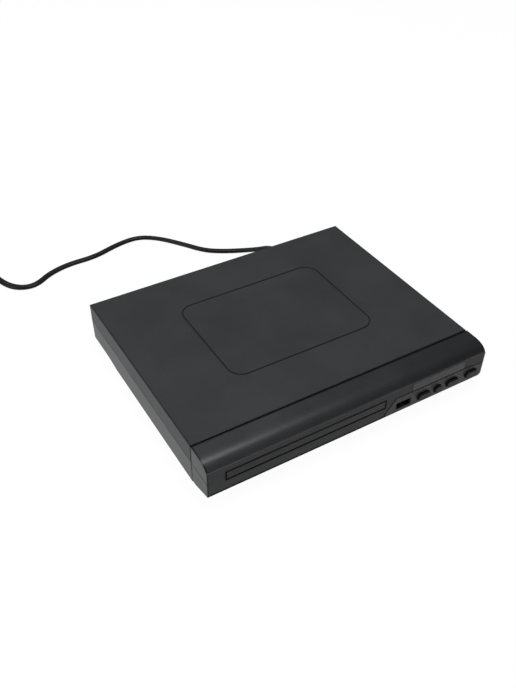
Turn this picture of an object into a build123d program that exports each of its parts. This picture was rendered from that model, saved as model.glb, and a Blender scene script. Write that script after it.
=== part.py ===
from build123d import *
import math
import os

# A compact disc player with a motorised tray, made as the pieces it comes apart into on a bench.
# Millimetres, +X to the right as seen from the front, +Y to the rear, +Z up. The origin lies on the surface
# that the player stands on, under the middle of the player's own box (the free cord is not counted in it).

# ---- driving dimensions of the housing ----
case_width = 240.0
case_depth = 176.1          # from the seam behind the bezel to the rear edge
case_height = 33.8          # from the lower edge to the top, without the feet
bezel_depth = 22.6          # from the face to the seam
foot_height = 3.2
foot_radius = 8.0
foot_inset = 15.0           # from the tub's front and rear edges
foot_side = 20.0
foot_round = 0.7
wall = 2.0                  # cover and tub
bezel_wall = 2.2
parting_height = 17.8       # the line between cover and tub
side_draft = 0.3            # how far each lower side leans in at the bottom
belly_drop = 1.8            # how far the tub's underside hangs below its rear edge
belly_span = (131.0, 147.0)  # where the underside rises again, behind the seam
seam_gap = 0.9              # the open line between cover and bezel
shell_gap = 0.2             # between pieces that are closed on each other
edge_round = 0.8

# ---- bezel ----
bezel_flat = 10.0           # depth of the flat strip before the top rolls over
bezel_roll = (12.3, 6.8)    # half axes of the rolled edge
crease_height = 28.2
crease_step = 0.5
chin_height = 5.4
chin_back = 5.0             # the chin's lower end, in front of the seam
chin_round = 3.0            # the chin's lower corner at the right
end_groove = (0.35, 0.4)    # width and depth of the line across the bezel's left end
split_gap = 0.5             # open line between the two bezel pieces
lip_gap = 1.2               # the wider shadow line under the face
split_line = ((26.0, 5.4), (26.6, 8.0), (28.6, 11.8), (35.2, 19.9), (101.0, 19.8), (124.0, 17.3))
slot_span = (-106.3, 26.0)
slot_heights = (15.0, 23.2)
door_gap = 0.8
door_thick = 3.2
window_span = (50.0, 100.3)
window_thick = 1.2
window_border = 3.0
button_height = 6.0
button_stand = 2.0          # how far the buttons stand out of the face
button_gap = 0.25
buttons = {
    "button_open_close": (62.1, 11.0, 11.6),
    "button_play": (75.7, 11.3, 6.8),
    "button_stop": (89.8, 11.6, 11.6),
    "button_power": (108.6, 12.0, 11.6),
}
usb_centre = (43.0, 11.6)
usb_size = (13.2, 5.6)

# ---- tray and its drive ----
tray_centre_x = -40.0
tray_width = 129.0
tray_rear = 131.0           # behind the seam
tray_under = 18.4
tray_top = 21.8
disc_y = 44.0               # spindle, behind the seam
disc_radius = 60.0
small_disc_radius = 40.0
disc_clearance = 1.0
slide_gap = 0.3             # under and over what slides
side_gap = 0.5
rack_module = 1.0
rack_height = 2.5
rack_back = 3.2
drive_module = 0.8
drive_pinion_teeth = 20
drive_wheel_teeth = 36
idler_teeth = 12
drive_gear_x = 8.0
drive_y = -3.0
pulley_radius = 7.4
motor_pulley_radius = 3.0
belt_thick = 1.2
tray_motor_x = -42.0
tray_motor_y = 4.0
tray_motor_radius = 10.5
backlash = 0.3
shaft_gap = 0.06            # running fit on shafts and pins, on the radius

# ---- lifting traverse ----
pivot_y = 126.0
pivot_height = 12.4
lift_angle = 3.7
traverse_span = (-78.0, 12.0)
traverse_front = 25.0
traverse_rear = 129.0
plate_bottom = 9.3
plate_thick = 1.5
lift_pin_height = 13.5
lift_pin_radius = 1.5
lift_pins_x = (-57.0, -15.0)
cam_travel = 16.0
cam_margin = 6.0
rod_radius = 1.5
rod_offset = 18.0
rod_height = 13.5
lens_start = 24.0           # lens to spindle, at the innermost track
sled_module = 0.8
sled_wheel_teeth = 24
sled_pinion_teeth = 12
sled_motor_teeth = 10
turntable_radius = 14.0
disc_seat = 21.5            # height of the turntable's seat when it is lifted
disc_thick = 1.2
puck_radius = 10.5

# ---- loader frame ----
loader_wall = 2.0
loader_front = -18.6
loader_rear = 134.0
loader_bottom = 4.0
deck_height = 12.5
deck_thick = 1.5
bridge_height = 24.0
bridge_thick = 1.2
ear_places = ((-1, 36.0), (-1, 106.0), (1, 36.0), (1, 106.0))

# ---- boards and rear sockets ----
board_thick = 1.6
board_height = 7.0
main_board_span = ((-105.0, 38.5), (137.0, 170.0))
power_board_span = ((41.0, 104.0), (95.0, 165.0))
panel_thick = 2.0
panel_lip = 1.0
jack_stand = 8.0            # how far the round sockets stand out behind
jack_radius = 4.15
jack_bore = 1.65
jack_collar = 0.4           # how much wider a jack's moulded collar is where it passes the panel
jacks = {"video_jack": -30.0, "left_audio_jack": -44.0, "right_audio_jack": -58.0, "coaxial_jack": -76.0}
jack_height = 15.1
hdmi_x = 20.0
hdmi_size = (14.4, 5.4)
screw_radius = 1.4
boss_radius = 3.6

# ---- cord ----
cord_diameter = 5.4
cord_exit_x = 68.0
cord_exit_height = 15.2
boot_length = 22.0
coil_centre = (-200.9, 260.0)
coil_turns = 3              # turns beside each other, in two layers
coil_middle = 30.0
plug_size = (18.0, 32.0, 12.0)

# ---- places that follow from the sizes ----
face_y = button_stand - (button_stand + bezel_depth + case_depth + jack_stand) / 2
seam_y = face_y + bezel_depth
rear_y = seam_y + case_depth
base = foot_height
half = case_width / 2
top_z = base + case_height
parting_z = base + parting_height
drive_gear_r = rack_module * drive_pinion_teeth / 2
idler_x = drive_gear_x - drive_module * (drive_wheel_teeth + idler_teeth) / 2
tray_left = tray_centre_x - tray_width / 2
tray_right = tray_centre_x + tray_width / 2
front_screw_y = seam_y + 9.0
rear_screw_y = rear_y - 11.0
screw_x = half - 8.0
spindle_y = seam_y + disc_y
loader_left = tray_left - side_gap - loader_wall
loader_right = tray_right + side_gap + loader_wall


def box(x0, x1, y0, y1, z0, z1):
    """A block between two corners."""
    return Pos((x0 + x1) / 2, (y0 + y1) / 2, (z0 + z1) / 2) * Box(x1 - x0, y1 - y0, z1 - z0)


def post(x, y, z0, z1, radius):
    """An upright cylinder."""
    return Pos(x, y, (z0 + z1) / 2) * Cylinder(radius, z1 - z0)


def outline(points):
    """A flat face inside straight edges."""
    return make_face(Polyline(*points, close=True))


def along_x(face, x0, x1):
    """A (Y, Z) outline carried from x0 to x1."""
    return extrude(Plane.YZ.offset(x0) * face, x1 - x0)


def along_y(face, y0, y1):
    """An (X, Z) outline carried from y0 to y1."""
    return extrude(Plane.XZ.offset(-y1) * face, y1 - y0)


def along_z(face, z0, z1):
    """An (X, Y) outline carried from z0 to z1."""
    return extrude(Plane.XY.offset(z0) * face, z1 - z0)


def rod_along_x(x0, x1, y, z, radius):
    """A cylinder that lies along X."""
    return along_x(Pos(y, z) * Circle(radius), x0, x1)


def rod_along_y(x, y0, y1, z, radius):
    """A cylinder that lies along Y."""
    return along_y(Pos(x, z) * Circle(radius), y0, y1)


def save(name, shape):
    """Writes one piece under its own name."""
    export_step(shape, os.path.join("parts", name + ".step"))


def involute(angle):
    """The involute function of a pressure angle."""
    return math.tan(angle) - angle


def gear_face(teeth, module, turn=0.0):
    """A spur gear's outline with one tooth centred on the direction turn, in degrees."""
    pressure = math.radians(20)
    pitch = module * teeth / 2
    ground = pitch * math.cos(pressure)
    points = []
    for tooth in range(teeth):
        middle = math.radians(turn) + 2 * math.pi * tooth / teeth
        flank = []
        for radius in (pitch - 1.2 * module, pitch, pitch + 0.8 * module):
            lean = involute(math.acos(min(1.0, ground / radius)))
            spread = math.pi / (2 * teeth) + involute(pressure) - lean - backlash / 4 / pitch
            flank.append((radius, spread))
        for radius, spread in flank:
            points.append((radius * math.cos(middle - spread), radius * math.sin(middle - spread)))
        for radius, spread in reversed(flank):
            points.append((radius * math.cos(middle + spread), radius * math.sin(middle + spread)))
    return outline(points)


def rack_face(gap_y, start_y, end_y, module, pitch_x, back, facing):
    """A rack's (X, Y) outline: teeth point towards facing (+1 or -1 in X), with a tooth space centred on gap_y."""
    pitch = math.pi * module
    lean = math.tan(math.radians(20))
    first = math.ceil((start_y - gap_y) / pitch)
    count = math.floor((end_y - start_y) / pitch)
    points = [(pitch_x - facing * back, start_y), (pitch_x - facing * 1.2 * module, start_y)]
    for tooth in range(count):
        middle = gap_y + pitch * (first + tooth + 0.5)
        width = pitch / 4 - backlash / 4
        if middle + pitch / 2 > end_y:
            break
        low = pitch_x - facing * 1.2 * module
        high = pitch_x + facing * 0.8 * module
        points.append((low, middle - width - 1.2 * module * lean))
        points.append((high, middle - width + 0.8 * module * lean))
        points.append((high, middle + width - 0.8 * module * lean))
        points.append((low, middle + width + 1.2 * module * lean))
    points.append((pitch_x - facing * 1.2 * module, end_y))
    points.append((pitch_x - facing * back, end_y))
    return outline(points)


def lowered(shape):
    """Turns a piece of the traverse from its raised place to the lowered one, about the rear pivot."""
    axis = Axis((0, seam_y + pivot_y, base + pivot_height), (1, 0, 0))
    return shape.rotate(axis, lift_angle)


def rounded_slab(x0, x1, y0, y1, z0, z1, radius):
    """A block with rounded upright corners."""
    place = Pos((x0 + x1) / 2, (y0 + y1) / 2)
    return along_z(place * RectangleRounded(x1 - x0, y1 - y0, radius), z0, z1)


def floor_top(y):
    """Height of the tub's inner floor at a depth y behind the seam."""
    low_end, end = belly_span
    drop = min(1.0, max(0.0, (end - y) / (end - low_end)))
    return base + wall - belly_drop * drop


# ---- housing ----
def screw_places():
    """Where the four long case screws stand."""
    return [(side * screw_x, y) for side in (-1, 1) for y in (front_screw_y, rear_screw_y)]


def make_upper_case():
    front = seam_y + seam_gap / 2
    cover = box(-half, half, front, rear_y, parting_z + shell_gap, top_z)
    sharp = cover.edges().filter_by(Axis.Y).sort_by(Axis.Z)[-2:]
    sharp += cover.edges().filter_by(Axis.X).sort_by(Axis.Z)[-2:]
    cover = fillet(sharp, edge_round)
    cover -= box(-half + wall, half - wall, front - 1, rear_y - panel_lip, parting_z - 1, top_z - wall)
    lip = panel_lip + wall
    cover -= box(-half + lip, half - lip, front, rear_y + 1, parting_z - 1, top_z - lip)
    # the fine rectangular line that is let into the top
    line_centre = Pos(tray_centre_x + 41.0, seam_y + 88.7)
    line = line_centre * RectangleRounded(127.0, 93.6, 12.0)
    line -= line_centre * RectangleRounded(125.6, 92.2, 11.3)
    cover -= along_z(line, top_z - 0.6, top_z + 1)
    for x, y in screw_places():
        cover += post(x, y, parting_z + shell_gap, top_z - wall + 0.5, boss_radius)
        cover -= post(x, y, parting_z - 1, top_z - wall - 2, screw_radius + 0.05)
    for y in (seam_y + 22.0, seam_y + 150.0):
        cover += box(-half + wall - 0.5, half - wall + 0.5, y - 0.6, y + 0.6, top_z - wall - 2.0, top_z - wall + 0.5)
    panel_front = rear_y - panel_lip - panel_thick - 2 * shell_gap
    cover += box(-half + wall - 0.5, half - wall + 0.5, panel_front - 1.2, panel_front, top_z - wall - 1.6, top_z - wall + 0.5)
    return cover


def tub_section(inset, low, high):
    """The tub's (X, Z) outline, drawn in by inset, between two heights."""
    lean = side_draft / parting_height
    low_x = half - inset - lean * (parting_z - low)
    high_x = half - inset - lean * (parting_z - high)
    return outline([(-low_x, low), (low_x, low), (high_x, high), (-high_x, high)])


def belly_face(lift):
    """The (Y, Z) outline of the belly, raised by lift."""
    front = seam_y + seam_gap / 2
    low_end, end = belly_span
    return outline(
        [
            (front, base - belly_drop + lift),
            (seam_y + low_end, base - belly_drop + lift),
            (seam_y + end, base + lift),
            (seam_y + end, base + lift + 0.3),
            (front, base + lift + 0.3),
        ]
    )


def standoff(x, y, top, radius=2.6):
    """A board or frame standoff on the tub's floor with a screw hole."""
    foot = floor_top(y - seam_y) - wall / 2
    return post(x, y, foot, top, radius) - post(x, y, top - 5, top + 1, screw_radius - 0.3)


def board_screw_places(span):
    """Four screw places inside a board's corners."""
    (x0, x1), (y0, y1) = span
    inset = 3.5
    return [(x, seam_y + y) for x in (x0 + inset, x1 - inset) for y in (y0 + inset, y1 - inset)]


def ear_screw_places():
    """Screw places on the four ears of the loader frame."""
    edge = {-1: loader_left, 1: loader_right}
    return [(edge[side] + side * 3.8, seam_y + y) for side, y in ear_places]


def make_lower_case():
    front = seam_y + seam_gap / 2
    foot_half = half - side_draft
    tub = along_y(tub_section(0, base, parting_z), front, rear_y)
    tub += along_x(belly_face(0), -foot_half, foot_half)
    tub -= along_y(tub_section(wall, base + wall, parting_z + 1), front - 1, rear_y - panel_lip)
    tub -= along_y(tub_section(wall + panel_lip, base + wall + panel_lip, parting_z + 1), front, rear_y + 1)
    tub -= along_x(belly_face(wall), -foot_half + wall, foot_half - wall)
    for x, y in screw_places():
        tub += post(x, y, floor_top(y - seam_y) - wall / 2, parting_z, boss_radius)
        tub -= post(x, y, 0, parting_z + 1, screw_radius + 0.2)
        tub -= post(x, y, 0, base + 2.4, 2.9)
    for x, y in board_screw_places(main_board_span) + board_screw_places(power_board_span):
        tub += standoff(x, y, base + board_height)
    for x, y in ear_screw_places():
        tub += standoff(x, y, base + deck_height)
    (vent_x0, vent_x1), (vent_y0, vent_y1) = power_board_span
    for row in range(8):
        y = seam_y + vent_y0 + 8 + row * 5.0
        tub -= rounded_slab(vent_x0 + 12, vent_x1 - 12, y, y + 2.0, base - 3, base + 3, 0.9)
    panel_front = rear_y - panel_lip - panel_thick - 2 * shell_gap
    low_half = half - side_draft - wall - 1
    tub += box(-low_half, low_half, panel_front - 1.2, panel_front, base + wall / 2, base + wall + 1.6)
    return tub


def make_rear_panel():
    y1 = rear_y - panel_lip - shell_gap
    gap = wall + shell_gap
    lean = side_draft
    low = base + gap
    high = top_z - gap
    face = outline(
        [
            (-half + gap + lean, low),
            (half - gap - lean, low),
            (half - gap, parting_z),
            (half - gap, high),
            (-half + gap, high),
            (-half + gap, parting_z),
        ]
    )
    panel = along_y(face, y1 - panel_thick, y1)
    for x in jacks.values():
        panel -= rod_along_y(x, y1 - 5, y1 + 5, jack_height, jack_radius + jack_collar + shell_gap / 2)
    panel -= box(hdmi_x - hdmi_size[0] / 2 - 0.5, hdmi_x + hdmi_size[0] / 2 + 0.5, y1 - 5, y1 + 5,
                 hdmi_low() - 0.5, hdmi_low() + hdmi_size[1] + 0.5)
    panel -= rod_along_y(cord_exit_x, y1 - 5, y1 + 5, cord_exit_height, neck_radius() + shell_gap / 2)
    for column in range(6):
        x = 86 + column * 4.0
        panel -= box(x, x + 1.8, y1 - 5, y1 + 5, base + 9, top_z - 8)
    return panel


def hdmi_low():
    """Lower edge of the digital socket, which sits on the board."""
    return base + board_height + board_thick + 0.4


def neck_radius():
    """Neck of the cord's bushing."""
    return cord_diameter / 2 + 1.6


def make_foot(x, y):
    """A rubber foot with a sunk middle, as tall as the underside is high at its place."""
    top = floor_top(y - seam_y) - wall
    foot = post(x, y, 0, top, foot_radius)
    foot = fillet(foot.edges().sort_by(Axis.Z)[:1], foot_round)
    return foot - post(x, y, -1, foot_round, foot_radius - 3)


# ---- bezel ----
def bezel_face(inset):
    """The bezel's (Y, Z) outline: flat top, rolled edge, face and sloping chin, drawn in by inset."""
    roll_y = seam_y - bezel_flat
    half_y = bezel_roll[0] - inset
    half_z = bezel_roll[1] - inset
    centre_z = top_z - bezel_roll[1]
    crease = base + crease_height
    rise = (crease - centre_z) / half_z
    end_y = roll_y - half_y * math.sqrt(1 - rise**2)
    end_angle = 180 - math.degrees(math.asin(rise))
    back = seam_y - seam_gap / 2
    if inset:
        back += 5
    roll = EllipticalCenterArc((roll_y, centre_z), half_y, half_z, 90, arc_size=end_angle - 90)
    face_inner = face_y + inset
    shelf = crease if not inset else crease - crease_step
    below = Polyline(
        (end_y, crease),
        (face_inner, shelf),
        (face_inner, base + chin_height + inset * 0.6),
        (seam_y - chin_back, base + 0.3 + inset),
        (back, base + inset),
        (back, top_z - inset),
        (roll_y, top_z - inset),
    )
    return make_face(roll + below)


def bezel_block():
    """The whole hollow bezel before it is split in two."""
    block = along_x(bezel_face(0), -half, half)
    end_edges = block.edges().filter_by_position(Axis.X, half, half)
    block = fillet(end_edges.sort_by(Axis.Z)[:2], chin_round)
    return block - along_x(bezel_face(bezel_wall), -half + bezel_wall, half - bezel_wall)


def lower_region(lift, lip):
    """What lies right of the left end wall and below the split line, raised by lift."""
    end_x = -half + bezel_wall + (shell_gap if not lift else 0)
    points = [(end_x, -5), (end_x, lip)]
    points.append((split_line[0][0] - lift * 1.5, lip))
    for x, z in split_line[1:]:
        points.append((x - lift * 0.8, z + lift))
    points[-1] = (half + 5, split_line[-1][1] + lift)
    points.append((half + 5, -5))
    face = outline([(x, z + base) for x, z in points])
    return along_y(face, face_y - 5, seam_y + 10)


def bezel_tongue(low, high):
    """Tongue behind the seam that closes it and slides into the case."""
    return box(-half + wall + shell_gap, half - wall - shell_gap, seam_y - 3.0, seam_y + 4.0, low, high)


def make_front_bezel_upper():
    upper = bezel_block() - lower_region(split_gap, chin_height + lip_gap)
    groove_width, groove_depth = end_groove
    upper -= box(-half - 1, -half + groove_depth, face_y - 1, seam_y, parting_z, parting_z + groove_width)
    upper += bezel_tongue(top_z - wall - shell_gap - 1.5, top_z - wall - shell_gap)
    upper += box(-half + 8, half - 8, seam_y - 3.0, seam_y - 1.0, top_z - wall - shell_gap - 1.5, top_z - bezel_wall + 0.3)
    upper -= box(slot_span[0], slot_span[1], face_y - 1, face_y + 6, base + slot_heights[0], base + slot_heights[1])
    window_low = base + split_line[3][1] + split_gap + 0.2
    window_high = base + crease_height - 0.3
    upper -= box(window_span[0], window_span[1], face_y - 1, face_y + window_thick, window_low, window_high)
    upper -= box(window_span[0] + window_border, window_span[1] - window_border, face_y - 1, face_y + 6,
                 window_low + 1.2, window_high - 1.4)
    return upper


def button_face(x, z, width, grow=0.0):
    """A button's (X, Z) outline: round, or with round ends, grown by a margin."""
    height = min(width, button_height if width > 8 else width)
    if width <= 8:
        return Pos(x, base + z) * Circle(width / 2 + grow)
    return Pos(x, base + z) * SlotOverall(width + 2 * grow, height + 2 * grow)


def make_front_bezel_lower():
    lower = bezel_block() & lower_region(0, chin_height)
    # the recessed lip that shows as a dark line under the face
    lip_y = face_y + bezel_wall + 0.5
    lip_low = base + chin_height - 1.4
    lip_x1 = split_line[0][0] - 0.5
    lower += box(-half + 3, lip_x1, face_y + 1.0, lip_y + 1.2, lip_low, base + chin_height - 0.2)
    lower += box(-half + 3, lip_x1, lip_y, lip_y + 1.2, lip_low, base + chin_height + lip_gap + 0.9)
    for x, z, width in buttons.values():
        lower -= along_y(button_face(x, z, width, button_gap), face_y - 1, face_y + 6)
    usb_x, usb_z = usb_centre
    lower -= box(usb_x - usb_size[0] / 2, usb_x + usb_size[0] / 2, face_y - 1, face_y + 6,
                 base + usb_z - usb_size[1] / 2, base + usb_z + usb_size[1] / 2)
    tongue_low = floor_top(0) + shell_gap
    lower += box(-half + wall + 2, half - wall - 2, seam_y - 3.0, seam_y + 4.0, tongue_low, tongue_low + 1.5)
    return lower


def make_display_window():
    low = base + split_line[3][1] + split_gap + 0.2 + 0.1
    high = base + crease_height - 0.3 - 0.1
    x0 = window_span[0] + 0.1
    x1 = window_span[1] - 0.1
    return box(x0, x1, face_y - 0.1, face_y + window_thick - 0.02, low, high)


def make_button(x, z, width):
    """A cap through the face, a flange behind it and a stem that meets its switch."""
    back = face_y + bezel_wall + 0.1
    cap = along_y(button_face(x, z, width), face_y - button_stand, back + 1.0)
    cap = fillet(cap.edges().filter_by(Plane.XZ).sort_by(Axis.Y)[:4 if width > 8 else 1], 0.5)
    flange = along_y(button_face(x, z, width, 1.2), back, back + 1.0)
    stem = rod_along_y(x, back + 0.5, switch_tip_y() - 0.1, base + z, 1.6)
    return cap + flange + stem


def front_board_y():
    """Front face of the upright board behind the bezel."""
    return seam_y - 8.8


def switch_tip_y():
    """Front end of a switch's plunger."""
    return front_board_y() - 5.0


def make_usb_shell():
    usb_x, usb_z = usb_centre
    x0 = usb_x - usb_size[0] / 2 + 0.25
    x1 = usb_x + usb_size[0] / 2 - 0.25
    z0 = base + usb_z - usb_size[1] / 2 + 0.25
    z1 = base + usb_z + usb_size[1] / 2 - 0.25
    sheet = 0.35
    shell = box(x0, x1, face_y + 0.6, front_board_y(), z0, z1)
    return shell - box(x0 + sheet, x1 - sheet, face_y, front_board_y() + 1, z0 + sheet, z1 - sheet)


def make_usb_insert():
    usb_x, usb_z = usb_centre
    y1 = front_board_y()
    plug_half = usb_size[0] / 2 - 0.25 - 0.35 - 0.05
    mid_half = usb_size[1] / 2 - 0.25 - 0.35 - 0.05
    z = base + usb_z
    back = box(usb_x - plug_half, usb_x + plug_half, y1 - 2.5, y1, z - mid_half, z + mid_half)
    tongue = box(usb_x - plug_half + 0.5, usb_x + plug_half - 0.5, face_y + 2.0, y1 - 2, z + 0.1, z + mid_half - 0.3)
    return back + tongue


# ---- tray ----
def make_tray_door():
    x0 = slot_span[0] + door_gap
    x1 = slot_span[1] - door_gap
    z0 = base + slot_heights[0] + door_gap
    z1 = base + slot_heights[1] - door_gap
    door = box(x0, x1, face_y, face_y + door_thick, z0, z1)
    return fillet(door.edges().filter_by(Axis.X).sort_by(Axis.Y)[:2], 0.4)


def make_disc_tray():
    front = face_y + door_thick
    rear = seam_y + tray_rear
    under = base + tray_under
    top = base + tray_top
    tray = rounded_slab(tray_left, tray_right, front - 8, rear, under, top, 6.0)
    tray -= box(tray_left - 1, tray_right + 1, front - 20, front, under - 1, top + 1)
    recess = disc_radius + disc_clearance
    tray -= post(tray_centre_x, spindle_y, top - 2.2, top + 1, recess)
    tray -= post(tray_centre_x, spindle_y, top - 2.8, top + 1, small_disc_radius + disc_clearance)
    # scalloped sides so that fingers reach the disc's edge
    for side in (-1, 1):
        tray -= post(tray_centre_x + side * (recess - 2), spindle_y - 44, top - 2.2, top + 1, 9.0)
        tray -= post(tray_centre_x + side * (recess - 2), spindle_y + 44, top - 2.2, top + 1, 9.0)
    window = 20.0
    window_rear = disc_y + 65.0
    tray -= post(tray_centre_x, spindle_y, under - 1, top + 1, turntable_radius + 3)
    tray -= box(tray_centre_x - window, tray_centre_x + window, spindle_y - 6, seam_y + window_rear, under - 1, top + 1)
    rack_x = drive_gear_x + drive_gear_r
    rack = rack_face(seam_y + drive_y, seam_y - 6, rear - 1, rack_module, rack_x, rack_back, -1)
    tray += along_z(rack, under - rack_height, under + 0.5)
    tray += box(tray_left + 4.0, tray_left + 5.6, front + 3, rear - 1, under - 1.6, under + 0.5)
    return tray


def make_tray_drive_gear():
    """A wheel that the idler drives, with the pinion that drives the tray's rack above it."""
    x = drive_gear_x
    y = seam_y + drive_y
    wheel_low = base + deck_height + slide_gap
    wheel = along_z(Pos(x, y) * gear_face(drive_wheel_teeth, drive_module, 180.0), wheel_low, wheel_low + 2.0)
    pinion = along_z(Pos(x, y) * gear_face(drive_pinion_teeth, rack_module, 0.0), wheel_low + 2.0, base + tray_under - slide_gap)
    gear = wheel + pinion
    return gear - post(x, y, 0, top_z, 2.0 + shaft_gap)


def make_pulley_gear():
    """The belt's large pulley with the idler pinion under it."""
    x = idler_x
    y = seam_y + drive_y
    low = base + deck_height + slide_gap
    pinion = along_z(Pos(x, y) * gear_face(idler_teeth, drive_module, 180.0 / idler_teeth), low, low + 2.4)
    groove_low = belt_low() - 0.1
    groove_high = belt_low() + belt_thick + 0.1
    pulley = post(x, y, low + 2.4, groove_low, pulley_radius + 0.3)
    pulley += post(x, y, groove_low, groove_high, pulley_radius - belt_thick + 0.2)
    pulley += post(x, y, groove_high, base + tray_under - slide_gap, pulley_radius + 0.3)
    return pinion + pulley - post(x, y, 0, top_z, 1.5 + shaft_gap)


def belt_low():
    """Lower side of the drive belt."""
    return base + 16.1


def make_motor_pulley():
    x = tray_motor_x
    y = seam_y + tray_motor_y
    low = motor_top() + 0.6
    pulley = post(x, y, low, belt_low() - 0.1, motor_pulley_radius + 1.2)
    pulley += post(x, y, belt_low() - 0.1, belt_low() + belt_thick + 0.1, motor_pulley_radius - 0.2)
    pulley += post(x, y, belt_low() + belt_thick + 0.1, base + tray_under - slide_gap, motor_pulley_radius + 1.2)
    return pulley - post(x, y, 0, top_z, 1.0 + shaft_gap)


def motor_top():
    """Upper face of the tray motor's can, under its mount."""
    return base + 13.9


def make_tray_motor():
    x = tray_motor_x
    y = seam_y + tray_motor_y
    can = post(x, y, base + 4.2, motor_top(), tray_motor_radius)
    can = fillet(can.edges().sort_by(Axis.Z)[:1], 1.0)
    return can + post(x, y, motor_top() - 1, base + tray_under - slide_gap - 0.1, 1.0)


def make_drive_belt():
    """The belt: two straight runs and two half rounds about the pulleys, as a thin band."""
    small = motor_pulley_radius - 0.2 + 0.05
    large = pulley_radius - belt_thick + 0.2 + 0.05
    across = idler_x - tray_motor_x
    along = drive_y - tray_motor_y
    span = math.hypot(across, along)
    outer = belt_outline(small + belt_thick, large + belt_thick, span)
    inner = belt_outline(small, large, span)
    place = Pos(tray_motor_x, seam_y + tray_motor_y) * Rot(0, 0, math.degrees(math.atan2(along, across)))
    return place * along_z(outer - inner, belt_low(), belt_low() + belt_thick)


def belt_outline(small, large, span):
    """The shape that a taut loop makes about two circles, one at the origin and one at span along X."""
    lean = math.acos((small - large) / span)
    near = [(small * math.cos(lean), small * math.sin(lean)), (small * math.cos(lean), -small * math.sin(lean))]
    far = [(span + large * math.cos(lean), large * math.sin(lean)), (span + large * math.cos(lean), -large * math.sin(lean))]
    hull = outline([near[0], far[0], far[1], near[1]])
    return hull + Circle(small) + Pos(span, 0) * Circle(large)


# ---- loader frame and clamp ----
def make_loader_frame():
    y0 = seam_y + loader_front
    y1 = seam_y + loader_rear
    low = base + loader_bottom
    rail = base + tray_under - slide_gap
    tab = base + tray_top + 0.4
    wall_top = tab + 1.2
    cross = seam_y + 17.5
    left = loader_left
    right = loader_right
    # side walls with the ledges that the tray slides on, a low floor, a front deck and a rear wall
    frame = box(left, right, cross, y1, low, low + 1.5)
    deck_low = base + deck_height - deck_thick
    for x0, x1 in ((left, left + loader_wall), (right - loader_wall, right)):
        frame += box(x0, x1, cross, y1, low, wall_top)
        frame += box(x0, x1, y0, cross, deck_low, wall_top)
    frame += box(left + loader_wall - 0.5, left + loader_wall + 3.5, y0, y1, rail - 2, rail)
    frame += box(right - loader_wall - 1.9, right - loader_wall + 0.5, y0, y1, rail - 2, rail)
    frame += box(left, right, y0, cross + 3.0, deck_low, base + deck_height)
    frame += box(left, right, cross, cross + 3.0, low, base + deck_height)
    frame += box(left, right, y1 - loader_wall, y1, low, rail - 3.2)
    # hold-down tabs over the tray's edges
    for y in (30.0, 75.0, 122.0):
        frame += box(left, left + loader_wall + 2.5, seam_y + y, seam_y + y + 8, tab, wall_top)
        frame += box(right - loader_wall - 2.5, right, seam_y + y, seam_y + y + 8, tab, wall_top)
    # the well of the traverse, with its own low walls and the pivot bearings
    well_x0 = traverse_span[0] - 2.5
    well_x1 = traverse_span[1] + 2.5
    frame += box(well_x0 - 2, well_x1 + 2, cross + 3, y1 - 1, low, base + 15.6)
    frame -= box(well_x0, well_x1, cross + 3, y1 - loader_wall, low - 1, base + 20)
    for x0, x1 in ((well_x0 - 2, well_x0), (well_x1, well_x1 + 2)):
        frame -= rod_along_x(x0 - 1, x1 + 1, seam_y + pivot_y, base + pivot_height, 2.0 + shaft_gap)
    # motor seat: a raised pad with the can hanging in it
    pad = tray_motor_radius + 2
    motor_y = seam_y + tray_motor_y
    gear_y = seam_y + drive_y
    frame += box(tray_motor_x - pad, tray_motor_x + pad, motor_y - pad, motor_y + pad, deck_low, base + 14.2)
    frame -= post(tray_motor_x, motor_y, low - 1, motor_top() + 0.02, tray_motor_radius + 0.1)
    frame -= post(tray_motor_x, motor_y, low - 1, base + 20, 4.6)
    # gear shafts
    frame += post(drive_gear_x, gear_y, base + deck_height - 1, base + tray_under - slide_gap - 0.1, 2.0)
    frame += post(idler_x, gear_y, base + deck_height - 1, base + tray_under - slide_gap - 0.1, 1.5)
    # ears on the outside
    for (x, y), (side, _) in zip(ear_screw_places(), ear_places):
        frame += rounded_slab(x - 4.2, x + 4.2, y - 5, y + 5, base + deck_height, base + deck_height + 2.0, 2.0)
        frame -= post(x, y, base, base + 20, screw_radius + 0.1)
    return frame


def make_clamp_bridge():
    """A plate over the tray, folded down at both ends onto the loader's walls, with a hole for the clamp."""
    low = base + bridge_height
    high = low + bridge_thick
    seat = base + tray_top + 1.6
    reach = 16.0
    bridge = box(loader_left, loader_right, spindle_y - reach, spindle_y + reach, low, high)
    for x0, x1 in ((loader_left, loader_left + loader_wall), (loader_right - loader_wall, loader_right)):
        bridge += box(x0, x1, spindle_y - reach, spindle_y + reach, seat, low + 0.5)
    for y in (spindle_y - reach, spindle_y + reach - 1.2):
        bridge += box(loader_left, loader_right, y, y + 1.2, low, high + 2.0)
    return bridge - post(tray_centre_x, spindle_y, low - 1, high + 3, puck_radius + 0.6)


def make_clamp_puck():
    """The clamp that presses the disc on the turntable: it hangs in the bridge by its flange."""
    x = tray_centre_x
    low = base + disc_seat + disc_thick - 0.2
    bridge_top = base + bridge_height + bridge_thick
    puck = post(x, spindle_y, low, bridge_top + 0.1, puck_radius)
    puck += post(x, spindle_y, bridge_top + 0.1, bridge_top + 1.3, puck_radius + 3)
    puck += post(x, spindle_y, bridge_top + 1.3, bridge_top + 2.3, 5.0)
    return puck - post(x, spindle_y, low - 1, low + 2.0, 7.7)


# ---- traverse: built in its raised place, then lowered ----
def lens_y():
    """The lens's place at the innermost track."""
    return spindle_y + lens_start


def sled_gear_place():
    """Centre of the sled gear, beside the rack on the pickup."""
    return (-8.2, seam_y + 81.0)


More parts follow.
